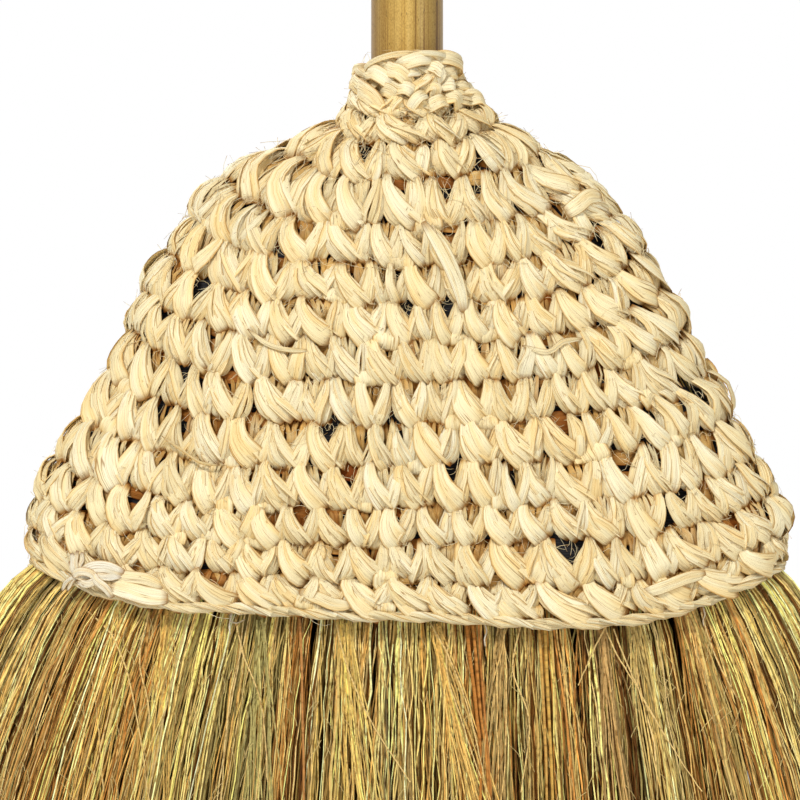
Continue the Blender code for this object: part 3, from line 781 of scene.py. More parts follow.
def place_stitches(number):
    """Where the stitches of a round are, their room, pitch and lean, how upright they are, and
    their tone."""
    count = stitch_count(number)
    level = np.full(count, float(number)) + chance.normal(0, 0.03, count)
    share = (np.arange(count) + chance.uniform(0, 1) + chance.normal(0, 0.07, count)) / count
    share = open_at_gaps(number, share)
    room = (np.roll(share, -1) - np.roll(share, 1)) % 1 / 2
    pitch = room * chance.normal(1.0, 0.06, count)
    down, around = read_table(DOWN, level + 0.5, share), read_table(AROUND, level + 0.5, share)
    lean = -np.sum(down * around, axis=1) / np.sum(around ** 2, axis=1)
    lean += chance.normal(0, 0.10, count) / count
    # The stitches of the last round nearly all slant.
    usual, varied = (0.0, 0.2) if number == LAST_ROUND else (0.35, 0.38)
    upright = np.clip(chance.normal(usual, varied, count), 0, 1)
    tone = chance.uniform(0, 1, count)
    return {
        "number": number, "level": level, "share": share, "room": room, "pitch": pitch,
        "lean": lean, "upright": upright, "tone": tone,
    }


print("stitches in each round:", [stitch_count(number) for number in range(ROUNDS)])

# %% [markdown]
# Real stitches don't all show the same strips. For each kind of strip, some of a round's stitches
# are chosen by chance. A hump or a notch that would lie over a gap is left out, so that the gap
# stays open.

# %% Choose the stitches that have a kind of strip
def choose(kind, stitches):
    """The stitches of a round that have a kind of strip. Nothing that fills a stitch is laid
    over a gap."""
    level, share = stitches["level"], stitches["share"]
    count = len(level)
    leaf_odds = LAST_LEAF_ODDS if stitches["number"] == LAST_ROUND else LEAF_ODDS
    keep = chance.uniform(0, 1, count) < leaf_odds.get(kind, 1.0)
    if kind in FILLINGS:
        odds, across, down = FILLINGS[kind]
        keep &= chance.uniform(0, 1, count) < odds
        off_turn = (share[:, None] + across / count - GAP_PLACES[:, 1] + 0.5) % 1 - 0.5
        off_down = level[:, None] + down - GAP_PLACES[:, 0]
        open_gap = ((np.abs(off_turn) * count < 0.42) & (np.abs(off_down) < 0.42)).any(axis=1)
        keep &= ~(open_gap & (chance.uniform(0, 1, count) < (0.6 if kind == "notch" else 1.0)))
    return np.flatnonzero(keep)


print("kinds of strip:", list(STRIP_SETS))

# %% [markdown]
# A strip's guides lie between its slanting and its upright form. All strips of a stitch are moved
# together, as one pull of the hook moves them, and then each a little by itself. Its width swells
# from a narrow start, because folded raffia opens where nothing presses it.

# %% Bend the strips of a kind
# How far a whole stitch and a single strip stray: across, down and out, as guides are given.
HAND_SWAY, FIBRE_SWAY = (0.04, 0.035, 0.50), (0.014, 0.014, 0.18)
NOTCH_STRAY = 5.0


def bend(kind, kept, stitches):
    """The guides of a kind's strips in the stitches that have it, with the stitch of each strip
    and its place in the leg, from 0 to 1. The strips of a stitch are moved together, and then
    each a little by itself."""
    _, slanting, straight, *_, bulge = STRIP_SETS[kind]
    each, points = slanting.shape[:2]
    stitch = np.repeat(kept, each)
    strip = np.tile(np.arange(each), len(kept))
    spread = np.linspace(0, 1, each)[strip]
    mix = stitches["upright"][stitch][:, None, None]
    together = np.repeat(chance.normal(0, 1, (len(kept), 1, 3)), each, axis=0)
    together = together * HAND_SWAY * looseness(stitches["number"]) ** 1.5
    sway = np.array(FIBRE_SWAY) * (NOTCH_STRAY if kind == "notch" else 1.0, 1, 1)
    apart = chance.normal(0, 1, (len(stitch), points, 3)) * sway
    guides = slanting[strip] * (1 - mix) + straight[strip] * mix + together + apart
    middle = np.sin(np.linspace(0, math.pi, points))
    guides[..., 2] += (0.4 + bulge * (1 - (2 * spread[:, None] - 1) ** 2)) * middle
    if stitches["number"] == LAST_ROUND and kind not in FILLINGS:
        # The feet of the last round come down over the edging, and its left legs slant more.
        guides[..., 1] *= 1.09
        guides[:, -1, 2] += 0.5
        if "left" in kind:
            guides[..., 0] += np.linspace(-0.05, 0.22, points)
    return stitch, spread, guides


print("a whole stitch strays by", HAND_SWAY, "and a strip of it by", FIBRE_SWAY)

# %% Widen the strips
def swell(model, start, end, full=0.4):
    """How wide a strip is along its length: narrow where it starts, then full, and narrower
    again at its end."""
    way = np.linspace(0, 1, model["rings"])
    grown = start + (1 - start) * np.clip(way / full, 0, 1) ** 0.8
    return grown - (1 - end) * np.clip((way - 0.8) / 0.2, 0, 1) ** 2


def widen(kind, stitch, stitches):
    """The half widths of a kind's strips at their rings."""
    model, _, _, half, *_ = STRIP_SETS[kind]
    number, room = stitches["number"], stitches["room"]
    broad = 1.15 if number == LAST_ROUND and kind == "leaf_left" else 1.0
    # A stitch with much room beside it leaves a gap and isn't drawn out to fill it.
    broad = broad * ROUND_LENGTHS[number] * np.minimum(room, 1.25 / len(room))[stitch]
    varied = chance.normal(1.0, 0.17 if model is LEAF else 0.25, len(stitch))
    width = half * broad * np.clip(varied, 0.5, 1.6)
    if kind not in LEAF_ODDS:
        return np.outer(width, swell(model, 0.14, 0.8))
    # The stitches of the neck are wide, but their leaves are no wider than others.
    width = np.minimum(width, np.interp(number, (3, 5), (2.7, 5.0)) * MM)
    shapes = chance.uniform((0.08, 0.75, 0.5), (0.45, 1.0, 0.95), (len(stitch), 3))
    return width[:, None] * np.array([swell(model, *shape) for shape in shapes])


print("a leg's width at its rings:", swell(LEG, 0.14, 0.8).round(2).tolist())

# %% Lay the rounds
PLEAT = 0.28 * MM
# A ring less than so many millimetres out starts to get painted shade, and one so much deeper
# gets it in full.
SUNK_FROM, SUNK_DEPTH = 1.0, 2.4


def lay_strips(model, stitches, stitch, guides, widths, thicks, rolls, pleat):
    """Sweeps strips that are given by guides, each in its stitch."""
    keys = ("level", "share", "pitch", "lean")
    level, share, pitch, lean = (stitches[key][stitch, None] for key in keys)
    path = np.einsum("rk,skc->src", smooth_weights(guides.shape[1], model["rings"]), guides)
    turn = share + path[..., 0] * pitch + lean * (path[..., 1] - 0.5)
    centres, outward = on_cover(level + path[..., 1], turn, path[..., 2] * MM)
    return sweep(model, centres, outward, widths, thicks, rolls, pleat)


def lay_round(number):
    """All strips of one round, in one list of parts."""
    stitches = place_stitches(number)
    parts = []
    for kind, (model, *_, thick, roll, low, high, _) in STRIP_SETS.items():
        kept = choose(kind, stitches)
        if not len(kept):
            continue
        stitch, spread, guides = bend(kind, kept, stitches)
        widths = widen(kind, stitch, stitches)
        thicks = np.outer(np.full(len(stitch), thick * MM), swell(model, 0.6, 0.6))
        rolls = np.radians((1 - 2 * spread) * roll + chance.normal(0, 8, len(stitch)))
        rolls = np.outer(rolls, np.ones(model["rings"]))
        own_tone = np.repeat(chance.uniform(0, 1, len(kept)), len(stitch) // len(kept))
        tone = low + (high - low) * (0.6 * stitches["tone"][stitch] + 0.4 * own_tone)
        tone = np.clip(tone + chance.normal(0, 0.10, len(stitch)), 0, 1)
        pleat = PLEAT if model is LEAF else 0.0
        places = lay_strips(model, stitches, stitch, guides, widths, thicks, rolls, pleat)
        out = guides[..., 2] @ smooth_weights(guides.shape[1], model["rings"]).T
        parts.append((model, places, tone, np.clip((SUNK_FROM - out) / SUNK_DEPTH, 0, 1)))
    return parts


total = 0
for number in range(ROUNDS):
    nodes = ("raffia_cover",) if number == 0 else ()
    name = f"crochet_round_{number + 1:02d}"
    piece = make_piece(name, lay_round(number), RAFFIA, "raffia", *nodes)
    total += len(piece.data.polygons)
print("faces in the crochet:", total)

# %% [markdown]
# ## Edgings
# Under the last round runs an edging of two plies twisted together, and a thicker loose ring
# closes the neck. A ply is a few strips that wind round a line of their own, and that line winds
# round the spine of the edging.

# %% Twist strips round a spine
def twist(spine, outward, plies, strips, ply_reach, strip_reach, half, turns, sides=10):
    """A twisted cord along a spine of points: the model and the places of its strips."""
    model = model_strip(sides=sides, segments=len(spine) - 1, back=0.8)
    ahead = unit(np.gradient(spine, axis=0))
    outward = unit(outward - ahead * np.sum(outward * ahead, axis=1, keepdims=True))
    up = np.cross(ahead, outward)
    way = np.linspace(0, 1, len(spine))
    centres, faces, widths = [], [], []
    for ply in range(plies):
        knots = chance.normal(0, 0.25, max(4, int(turns * 1.5)))
        drift = np.interp(way, np.linspace(0, 1, len(knots)), knots)
        angle = 2 * math.pi * (turns * way + ply / plies) + drift
        away = outward * np.cos(angle)[:, None] + up * np.sin(angle)[:, None]
        for strip in range(strips):
            inner = angle + 2 * math.pi * strip / strips + chance.normal(0, 0.3)
            around = outward * np.cos(inner)[:, None] + up * np.sin(inner)[:, None]
            knots = chance.normal(0, 0.12, max(4, int(turns * 2)))
            swelling = 1 + np.interp(way, np.linspace(0, 1, len(knots)), knots)
            centres.append(spine + away * ply_reach + around * (strip_reach * swelling)[:, None])
            faces.append(around)
            widths.append(half * swelling * chance.normal(1.0, 0.08))
    centres, faces, widths = np.array(centres), np.array(faces), np.array(widths)
    return model, sweep(model, centres, faces, widths, widths * 0.4, np.zeros_like(widths), 0.12 * half)


print("the hem is", round(ROUND_LENGTHS[-1] / MM), "mm round")

# %% Make the hem edging
EDGE_POINTS = 480
EDGE_OUT, EDGE_DROP = 1.9 * MM, 2.8 * MM
turn = np.linspace(0, 1.004, EDGE_POINTS)
spine, outward = on_cover(np.full(EDGE_POINTS, 15.0), turn, np.full(EDGE_POINTS, EDGE_OUT))
spine[:, 2] -= EDGE_DROP
model, places = twist(
    spine, outward, plies=2, strips=5, ply_reach=1.05 * MM, strip_reach=0.75 * MM, half=1.0 * MM,
    turns=18.5,
)
tints = chance.uniform(0, 0.6, len(places))
make_piece("twisted_hem_edging", [(model, places, tints)], RAFFIA, "raffia", "hem_edging")
print("hem edging strips:", len(places))

# %% [markdown]
# The ring at the neck is two such cords, one over the other. It isn't level: in front the upper
# cord rises from the left to a hump right of the handle's middle, and then drops behind.

# %% Make the neck ring
RING_POINTS = 90
RING_FOOT = 355.0 * MM
# Where the ring's spine is round the handle, in degrees from the right, and its height there.
RING_TURNS = (0, 60, 90, 135, 180, 215, 250, 275, 295, 320, 345, 360)
RING_HEIGHTS = (356.5, 357.0, 357.0, 356.5, 356.0, 357.0, 359.6, 361.2, 361.0, 359.0, 357.0, 356.5)
# For each cord: its share of the rise, how much lower and further out it lies, in millimetres,
# how thick its strips are, and its turns.
RING_CORDS = ((1.0, 0.0, 0.0, 1.0, 3.4), (0.35, 1.2, 0.7, 0.9, 5.3))
turn = np.linspace(0, 2 * math.pi * 1.02, RING_POINTS) + math.pi / 2
outward = np.stack((np.cos(turn), np.sin(turn), 0 * turn), axis=1)
height = np.interp(np.degrees(turn) % 360, RING_TURNS, RING_HEIGHTS) * MM
parts = []
for rise_share, lower, further, thickness, turns in RING_CORDS:
    spine = outward * (HANDLE_REACH + 3.0 * MM + further * MM)
    spine[:, 2] = RING_FOOT + (height - RING_FOOT) * rise_share - lower * MM
    model, places = twist(
        spine, outward, plies=2, strips=5, ply_reach=1.2 * MM, strip_reach=1.0 * MM,
        half=1.25 * MM * thickness, turns=turns,
    )
    parts.append((model, places, chance.uniform(0, 0.5, len(places))))
make_piece("neck_ring", parts, RAFFIA, "raffia", "neck_edging")
print("neck ring strips:", sum(len(part[1]) for part in parts))

# %% [markdown]
# ## Loose strips
# Some strips have worked loose: one long strip lies across the middle rounds, others bridge gaps
# near the hem. Each is drawn through points of the picture and lies on the form at that place.

# %% Lay strips through points of the picture
def lay_through(pixels, out, half, rings=20, tip=0.25):
    """One strip through points of the picture, at heights above the form in millimetres. Its
    ends narrow to a share of its width."""
    model = model_strip(sides=16, segments=rings - 1, back=0.5, flat=0.6)
    weights = smooth_weights(len(pixels), rings)
    points = np.array([behind_picture(*pixel) for pixel in pixels])
    path = weights @ points
    out = weights @ np.array(out) * MM
    centres, outward = on_cover(path[:, 0], path[:, 1], out)
    taper = np.clip(np.minimum(np.linspace(0, 1, rings), np.linspace(1, 0, rings)) * 4, 0, 1)
    widths = half * MM * (tip + (1 - tip) * taper ** 0.7)[None]
    rolls = np.full((1, rings), chance.normal(0, 0.15))
    thick = np.full((1, rings), (0.30 + 0.08 * half) * MM)
    return model, sweep(model, centres[None], outward[None], widths, thick, rolls, 0.16 * MM)


# Points of the picture, heights over the form, half width, how blunt the ends are, tint.
LOOSE_STRIPS = (
    (((423, 224), (434, 244), (446, 268), (456, 290), (463, 314)), (3.2, 5.6, 6.0, 5.4, 3.0), 1.9, 0.5, 0.0),
    (((430, 226), (444, 246), (456, 270), (463, 294), (466, 312)), (3.0, 5.0, 5.4, 5.0, 3.0), 1.0, 0.3, 0.1),
    (((116, 573), (134, 575), (150, 578), (166, 584)), (3.0, 4.4, 4.4, 3.2), 2.2, 0.4, 0.4),
    (((114, 583), (132, 588), (150, 593), (170, 597)), (3.6, 5.0, 5.0, 3.4), 3.3, 0.6, 0.0),
    (((300, 588), (318, 596), (336, 602), (354, 604)), (3.4, 4.4, 4.4, 3.0), 2.2, 0.4, 0.3),
    (((640, 590), (660, 585), (682, 577), (700, 572)), (3.0, 4.8, 4.8, 3.0), 2.2, 0.5, 0.2),
    (((562, 214), (571, 208), (582, 202), (593, 199)), (2.6, 4.8, 5.0, 3.2), 2.9, 0.7, 0.2),
    (((250, 330), (270, 345), (290, 352), (312, 350)), (3.0, 4.4, 4.4, 3.2), 0.9, 0.25, 0.4),
    (((165, 435), (185, 452), (205, 462), (222, 466)), (3.0, 4.6, 4.4, 3.2), 0.5, 0.25, 0.5),
    (((520, 345), (545, 352), (560, 343), (580, 340)), (3.0, 4.6, 4.6, 3.2), 1.0, 0.25, 0.2),
)
loose_parts = []
for pixels, out, half, tip, tint in LOOSE_STRIPS:
    loose_parts.append((*lay_through(pixels, out, half, tip=tip), np.array([tint])))
print("loose strips:", len(loose_parts))

# %% [markdown]
# The neck is worked so tightly that no single stitch can be made out there. Short wide strips
# wrap it, and each dives under its neighbours at both ends.

# %% Wrap the neck
# Points of the picture, how far they stand out, half width, tint.
NECK_STRIPS = (
    (((370, 74), (378, 67), (392, 60), (408, 57), (424, 57)), 5.0, 1.1, 0.2),
    (((400, 59), (416, 57), (432, 57), (446, 61)), 5.2, 1.1, 0.1),
    (((395, 72), (406, 67), (418, 62), (431, 60)), 5.4, 2.7, 0.1),
    (((428, 58), (438, 60), (447, 66), (455, 74)), 5.2, 2.7, 0.3),
    (((446, 60), (455, 66), (460, 74)), 4.6, 1.8, 0.3),
    (((371, 66), (360, 69), (353, 77), (358, 85), (367, 84)), 4.6, 1.8, 0.3),
    (((371, 68), (381, 75), (390, 84), (398, 92)), 5.4, 2.9, 0.1),
    (((385, 66), (395, 73), (404, 81), (412, 89)), 5.6, 2.8, 0.2),
    (((401, 81), (409, 76), (420, 71)), 5.0, 2.3, 0.0),
    (((421, 65), (429, 70), (431, 79), (427, 88)), 5.4, 2.8, 0.15),
    (((433, 74), (441, 75), (449, 81)), 5.2, 2.5, 0.3),
    (((432, 84), (439, 84), (445, 87)), 4.6, 1.9, 0.3),
    (((446, 75), (455, 79), (463, 88)), 5.0, 2.5, 0.35),
    (((456, 76), (464, 82), (467, 90)), 4.4, 1.8, 0.4),
    (((358, 87), (351, 95), (349, 104), (353, 113)), 3.0, 2.1, 0.2),
    (((364, 88), (372, 95), (379, 104), (384, 113)), 5.4, 3.5, 0.2),
    (((383, 94), (391, 95), (399, 101)), 4.8, 2.5, 0.3),
    (((395, 92), (406, 95), (417, 100)), 5.2, 2.6, 0.1),
    (((425, 96), (416, 103), (408, 113)), 5.6, 2.2, 0.1),
    (((424, 88), (430, 94), (432, 104)), 4.8, 2.2, 0.2),
    (((433, 88), (442, 91), (452, 98)), 5.4, 2.9, 0.15),
    (((446, 90), (457, 94), (470, 102)), 4.8, 2.0, 0.3),
    (((424, 112), (434, 107), (445, 104)), 4.8, 2.6, 0.2),
    (((440, 101), (448, 106), (457, 115)), 5.4, 3.0, 0.3),
    (((457, 102), (470, 107), (486, 117)), 5.2, 3.4, 0.2),
)
TUCKED_OUT = 1.0
for pixels, proud, half, tint in NECK_STRIPS:
    out = [TUCKED_OUT, *[proud] * (len(pixels) - 2), TUCKED_OUT]
    loose_parts.append((*lay_through(pixels, out, half, tip=0.6), np.array([tint])))
make_piece("loose_strips", loose_parts, RAFFIA, "raffia")
print("neck strips:", len(NECK_STRIPS))

# %% [markdown]
# The fastening off at the lower left is a small knot of paler raffia with short cut ends.

# %% Tie the knot
# Points of the picture, heights over the form, half width.
KNOT_STRIPS = (
    (((68, 588), (73, 582), (79, 576), (88, 571)), (3.4, 4.8, 5.6, 5.2), 0.9),
    (((73, 589), (77, 583), (82, 577), (90, 572)), (3.4, 4.6, 5.4, 5.0), 0.8),
    (((78, 550), (80, 558), (82, 566), (86, 576)), (4.4, 5.2, 6.2, 4.8), 0.9),
    (((83, 549), (84, 557), (85, 566), (86, 576)), (4.6, 5.6, 6.4, 4.8), 0.9),
    (((88, 551), (88, 558), (87, 566), (86, 576)), (4.4, 5.4, 6.2, 4.8), 0.8),
    (((76, 560), (82, 568), (88, 574), (98, 578)), (4.2, 5.6, 6.0, 4.4), 1.3),
    (((86, 574), (97, 566), (112, 565), (128, 572)), (5.2, 6.2, 5.8, 4.0), 2.2),
    (((92, 566), (100, 572), (112, 574), (126, 573)), (5.0, 5.6, 5.4, 3.8), 1.4),
    (((96, 566), (102, 576), (110, 586), (118, 595)), (5.4, 6.2, 5.8, 3.8), 1.7),
    (((80, 574), (88, 569), (97, 571), (104, 577)), (6.0, 7.0, 6.8, 5.2), 1.5),
    (((84, 579), (92, 582), (100, 580), (106, 574)), (5.4, 6.2, 6.0, 4.6), 1.5),
)
parts = []
for pixels, out, half in KNOT_STRIPS:
    parts.append((*lay_through(pixels, out, half, tip=0.55), chance.uniform(0, 0.3, 1)))
make_piece("pale_knot", parts, PALE_RAFFIA, "pale_raffia", "fasten_off_knot")
print("knot strips:", len(KNOT_STRIPS))

# %% [markdown]
# ## Stray fibres
# Raffia frays. Fine hairs lie over the stitches and stand out at the edges of the cover, a few
# cross each gap, and short curls sit in the notches. They are the same strip with three sides.

# %% Scatter stray fibres
HAIRS = 5600
GAP_HAIRS = 7
NOTCH_CURLS = 2400
HAIR_GUIDES = 7
ROUND_HEIGHT = 12.4 * MM


def wander(count, level, curly):
    """Guides of hairs that bend as they go, as steps around and down from where they start."""
    length = chance.gamma(3.0, 2.2, count) * MM * np.where(curly, 0.8, 1.0)
    heading = chance.uniform(0, FULL_TURN, count)
    bend = chance.normal(0, 1.4, count) * np.where(curly, 3.0, 1.0)
    angle = heading[:, None] + bend[:, None] * np.linspace(0, 1, HAIR_GUIDES)
    steps = length[:, None] / (HAIR_GUIDES - 1)
    across = np.cumsum(np.cos(angle) * steps, axis=1)
    down = np.cumsum(np.sin(angle) * steps, axis=1)
    round_length = np.interp(level, np.arange(ROUNDS) + 0.5, ROUND_LENGTHS)
    lift = chance.uniform(0.2, 1.0, (count, 3)) * 4.0
    lift[:, -1] += np.where(chance.uniform(0, 1, count) < 0.3, 3.0, 0.0)
    lift = np.where(curly[:, None], chance.uniform(0.6, 2.6, (count, 3)), lift)
    out = lift @ smooth_weights(3, HAIR_GUIDES).T
    return np.stack((across / round_length[:, None], down / ROUND_HEIGHT, out), axis=2)


def scatter_fibres(count):
    """Fine hairs anywhere on the cover, and a few more across each gap."""
    at_gaps = len(GAP_PLACES) * GAP_HAIRS
    level = chance.uniform(0.1, 15.0, count)
    share = chance.uniform(0, 1, count)
    level[:at_gaps] = np.repeat(GAP_PLACES[:, 0], GAP_HAIRS) + chance.normal(0, 0.15, at_gaps)
    share[:at_gaps] = np.repeat(GAP_PLACES[:, 1], GAP_HAIRS) + chance.normal(0, 0.005, at_gaps)
    curly = np.arange(count) >= count - NOTCH_CURLS
    level[curly] = np.floor(level[curly]) + chance.normal(0.12, 0.12, NOTCH_CURLS)
    guides = wander(count, level, curly)
    path = np.einsum("rk,skc->src", smooth_weights(HAIR_GUIDES, HAIR["rings"]), guides)
    around, down, out = np.moveaxis(path, 2, 0)
    centres, outward = on_cover(level[:, None] + down, share[:, None] + around, out * MM)
    thick = np.outer(chance.uniform(0.08, 0.17, count) * MM, np.linspace(1, 0.5, HAIR["rings"]))
    return sweep(HAIR, centres, outward, thick, thick, np.zeros_like(thick))


hairs = scatter_fibres(HAIRS)
make_piece("stray_fibres", [(HAIR, hairs, chance.uniform(0, 0.4, len(hairs)))], RAFFIA, "raffia")
print("stray fibres:", len(hairs))

# %% [markdown]
# ## Lining
# A black cloth lies between the grass and the crochet, and shows in the gaps among the stitches.
# The CAD sleeve has its exact size, so a copy of it is merged, smoothed, and drawn in where the
# cover over it is. A cloth simulation would add nothing, because the cloth is wholly held.

# %% Make the black cloth
lining_finish, shader, add = start_material("black_cloth", 0.9)
place = add("TexCoord").outputs["Object"]
bands = {"wave_type": "BANDS", "bands_direction": "Z"}
weave = add("TexWave", bands, Vector=place, Scale=320.0, Distortion=1.0).outputs["Fac"]
tone = ramp(add, weave, (0.0, (0.010, 0.009, 0.010)), (1.0, (0.028, 0.026, 0.028)))
finish_surface(add, shader, tone, weave, 0.3, 0.2 * MM)
print("finish:", lining_finish.name)

# %% Copy and merge the CAD sleeve
bpy.ops.object.select_all(action="DESELECT")
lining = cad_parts["inner_lining"].copy()
lining.data = lining.data.copy()
lining.name = "black_lining"
bpy.context.scene.collection.objects.link(lining)
bpy.context.view_layer.objects.active = lining
lining.select_set(True)
bpy.ops.object.mode_set(mode="EDIT")
bpy.ops.mesh.select_all(action="SELECT")
bpy.ops.mesh.remove_doubles(threshold=0.00001)
bpy.ops.object.mode_set(mode="OBJECT")
lining.data.materials.clear()
lining.data.materials.append(lining_finish)
lining.data.shade_smooth()
print("points in the lining:", len(lining.data.vertices))

levels = np.arange(0, 15.01, 0.05)[:, None]
corners = np.array([corner.co for corner in lining.data.vertices])
across = np.minimum(np.abs(corners[:, 0]) / half_width(levels, 0), 1)
nearest = np.abs(height_at(levels, across) - corners[:, 2]).argmin(axis=0)
corners[:, 0] = narrowed(levels[nearest, 0], corners[:, 0])
lining.data.vertices.foreach_set("co", corners.ravel())
lining.data.update()
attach(lining, "root")
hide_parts("inner_lining")

# %% [markdown]
# ## Grass
# The bristles are the flower stalks of a grass, thousands of them, in eleven bundles side by side.
# Each stalk has a colour of its own, painted on its points, with painted shade deep in the fan
# and painted light on its outer face. The finish adds the mottling of dry grass along it, with
# painted light and shade where it crinkles. Painted points cost far less than a material for
# each colour.

# %% Make the grass finish
def grass_finish(name):
    """Dry grass, in the colour that each stalk carries."""
    material, shader, add = start_material(name, 0.55, specular=0.12)
    run = work_out(add, "MULTIPLY", read(add, "along"), 48.0)
    apart = work_out(add, "MULTIPLY", read(add, "tint"), 300.0)
    place = add("CombineXYZ", i0=run, i1=apart).outputs[0]
    spots = add("TexNoise", Vector=place, Scale=1.0, Detail=3.0).outputs["Fac"]
    # Dark and bright spots along a stalk: partly the mottling of dry grass, and partly painted light and
    # shade of its crinkles.
    tone = ramp(
        add, spots,
        (0.30, (0.42, 0.32, 0.20)), (0.45, grey(0.88)), (0.55, PLAIN), (0.70, (1.22, 1.19, 1.13)),
    )
    colour = layered(add, read(add, "stalk_colour", "Color"), tone)
    finish_surface(add, shader, colour, spots, 0.35, 0.4 * MM)
    return material


GRASS = grass_finish("dry_grass")
print("finish:", GRASS.name)

# %% [markdown]
# A stalk keeps its place in the bundle down to the hem, and below it the fan spreads. Stalks lean
# and wave a little and gather in small clumps, with dark gaps in between. The fan's colours change
# from zone to zone, because each handful of grass was cut at another place.

# %% Lay out the fan
GRASS_INSET = 8.6 * MM
# The fan is so much narrower than the form at that inset.
FAN_SHARE = 0.975
FAN_EDGE = FAN_SHARE * half_width(ROUNDS, GRASS_INSET)
CENTRE_EDGE = 13.96 * MM
SIDE_BUNDLES = 5
# The slope of the outermost stalks, and how much deeper the fan is at the floor.
SPREAD = math.tan(math.radians(32))
DEEPEN = 0.22
HANDLE_FOOT_Z = 215.1 * MM
# A stalk has a ring at these levels of the cover, and at these shares of the way to the floor.
LEVELS_INSIDE = (4, 8, 12)
WAYS_DOWN = (0, 0.04, 0.08, 0.13, 0.18, 0.24, 0.30, 0.37, 0.48, 0.70, 1.0)
# Clumps stand this many millimetres apart along the hem.
CLUMP_PITCH = 3.2
# Dark partings in the front of the fan: the place at the hem and the width, in millimetres.
PARTINGS = ((-31.5, 1.2), (19.5, 0.9), (57.0, 2.0), (72.5, 1.3), (-66, 0.9), (88.5, 1.8), (104, 1.0))
print("fan edge at the hem:", round(FAN_EDGE / MM, 1), "mm")

# %% Root the stalks
def choose_roots(count, left, right, face):
    """Where stalks stand in the fan: between two shares of its width, and how far from its middle
    layer. Face is -1 for the front half, 1 for the back half and 0 for the whole depth."""
    across = chance.uniform(left, right, count)
    outer = chance.uniform(0, 1, count) < 0.7
    deep = np.where(outer, chance.uniform(0.72, 1.0, count), chance.uniform(0.05, 0.72, count))
    # The two narrow sides of the fan are as full in their middle as elsewhere.
    deep = np.where(np.abs(across) > 0.93, chance.uniform(0.0, 1.0, count), deep)
    deep *= face if face else np.where(chance.uniform(0, 1, count) < 0.55, -1, 1)
    return across, deep


def inside_cover(across, deep, limit):
    """Rings of the stalks inside the cover, where they pass beside the handle."""
    rings = []
    for level in LEVELS_INSIDE:
        x = narrowed(level, half_width(level, GRASS_INSET) * across * FAN_SHARE)
        y = half_depth(level, GRASS_INSET) * limit * deep
        z = height_at(level, across * FAN_SHARE)
        clear = np.sqrt(np.maximum(0, (HANDLE_REACH + 1.5 * MM) ** 2 - x ** 2))
        beside = (z > HANDLE_FOOT_Z - 6 * MM) & (np.abs(y) < clear)
        rings.append(np.stack((x, np.where(beside, np.sign(y) * clear, y), z), axis=1))
    return rings


print("levels inside the cover where a stalk has a ring:", LEVELS_INSIDE)

# %% [markdown]
# Below the hem nothing holds a stalk but its neighbours. It leans out with the fan, leans with its
# clump and a little by itself, waves, and bends. A few stalks stray far, and some end short of the
# floor. All this is added up for every stalk at eleven heights, one array for each height.

# %% Let the stalks run down from the hem
# Degrees that a clump, a stalk of it and a stray stalk lean.
CLUMP_LEAN, OWN_LEAN, STRAY_LEAN = 1.6, 2.0, 6
WAVE, BOW, CRINKLE = 0.55 * MM, 1.2 * MM, 0.30 * MM
# How far the outermost stalks come out from under the hem, in millimetres: at once, and then over
# the next few rings.
FLARE_AT_HEM, FLARE_BELOW = 7.2, 8.5


def spread_down(x, y, root_z, way_down):
    """Where a stalk that leaves the hem at x, y comes to, part of the way down to the floor."""
    power = np.where(x < 0, 1.5, 2.5)
    slope = SPREAD * np.sign(x) * np.abs(x / FAN_EDGE) ** power
    run = root_z * (way_down - 0.7 * way_down ** 2 / 2)
    return x + slope * run, y * (1 + DEEPEN * way_down), root_z * (1 - way_down)


def below_hem(across, deep, limit):
    """Rings of the stalks from the hem to the floor."""
    count = len(across)
    x = FAN_EDGE * across
    y = half_depth(ROUNDS, GRASS_INSET) * limit * deep
    root_z = height_at(ROUNDS, across * FAN_SHARE)
    in_front = (np.abs(deep) > 0.55) & (y < 0)
    clumps = np.round(x / (CLUMP_PITCH * MM) + chance.normal(0, 0.35, count))
    clump_lean = np.random.default_rng(11).normal(0, 1, 400)[(clumps + 200).astype(int)]
    stray = np.where(chance.uniform(0, 1, count) < 0.08, chance.normal(0, STRAY_LEAN, count), 0)
    lean = np.radians(clump_lean * CLUMP_LEAN + chance.normal(0, OWN_LEAN, count) + stray)
    # A stalk near the end of the fan leans out less, so its foot stays on the broom.
    lean *= np.where(lean * x > 0, 1 - 0.9 * np.abs(across) ** 3, 1.0)
    wave_size = np.abs(chance.normal(0, WAVE, count))
    wave_turn, wave_run = chance.uniform(0, FULL_TURN, count), chance.uniform(2.0, 6.0, count)
    bow = chance.normal(0, BOW, count)
    long = chance.uniform(0, 1, count) < 0.8
    reach = np.where(long, 1 - chance.uniform(0, 0.05, count), chance.uniform(0.80, 0.96, count))
    rings = []
    for way in WAYS_DOWN:
        down = way * reach
        px, py, pz = spread_down(x, y, root_z, down)
        gather = (clumps * CLUMP_PITCH * MM - x) * 0.5 * np.minimum(down * 5, 1)
        wave = wave_size * np.sin(wave_turn + wave_run * FULL_TURN * down) * np.minimum(down * 6, 1)
        px = px + np.tan(lean) * root_z * down * (1 - 0.35 * down) + gather + wave
        px = px + chance.normal(0, CRINKLE, count) * (way > 0)
        for middle, width in PARTINGS:
            off = (x - middle * MM) / (width * MM)
            px = px + np.sign(off) * np.maximum(0, 1 - np.abs(off) * 0.5) * width * MM * in_front
        py = py + bow * np.sin(down * 3) * 0.8
        flare = FLARE_AT_HEM + FLARE_BELOW * (1 - math.exp(-way / 0.07))
        flare = flare * MM * (1 - way) ** 1.5
        flare = flare * np.where(x < 0, 1.3, 0.95)
        px = px + flare * np.sign(across) * np.abs(across) ** 6
        rings.append(np.stack((px, py, pz), axis=1))
    return rings


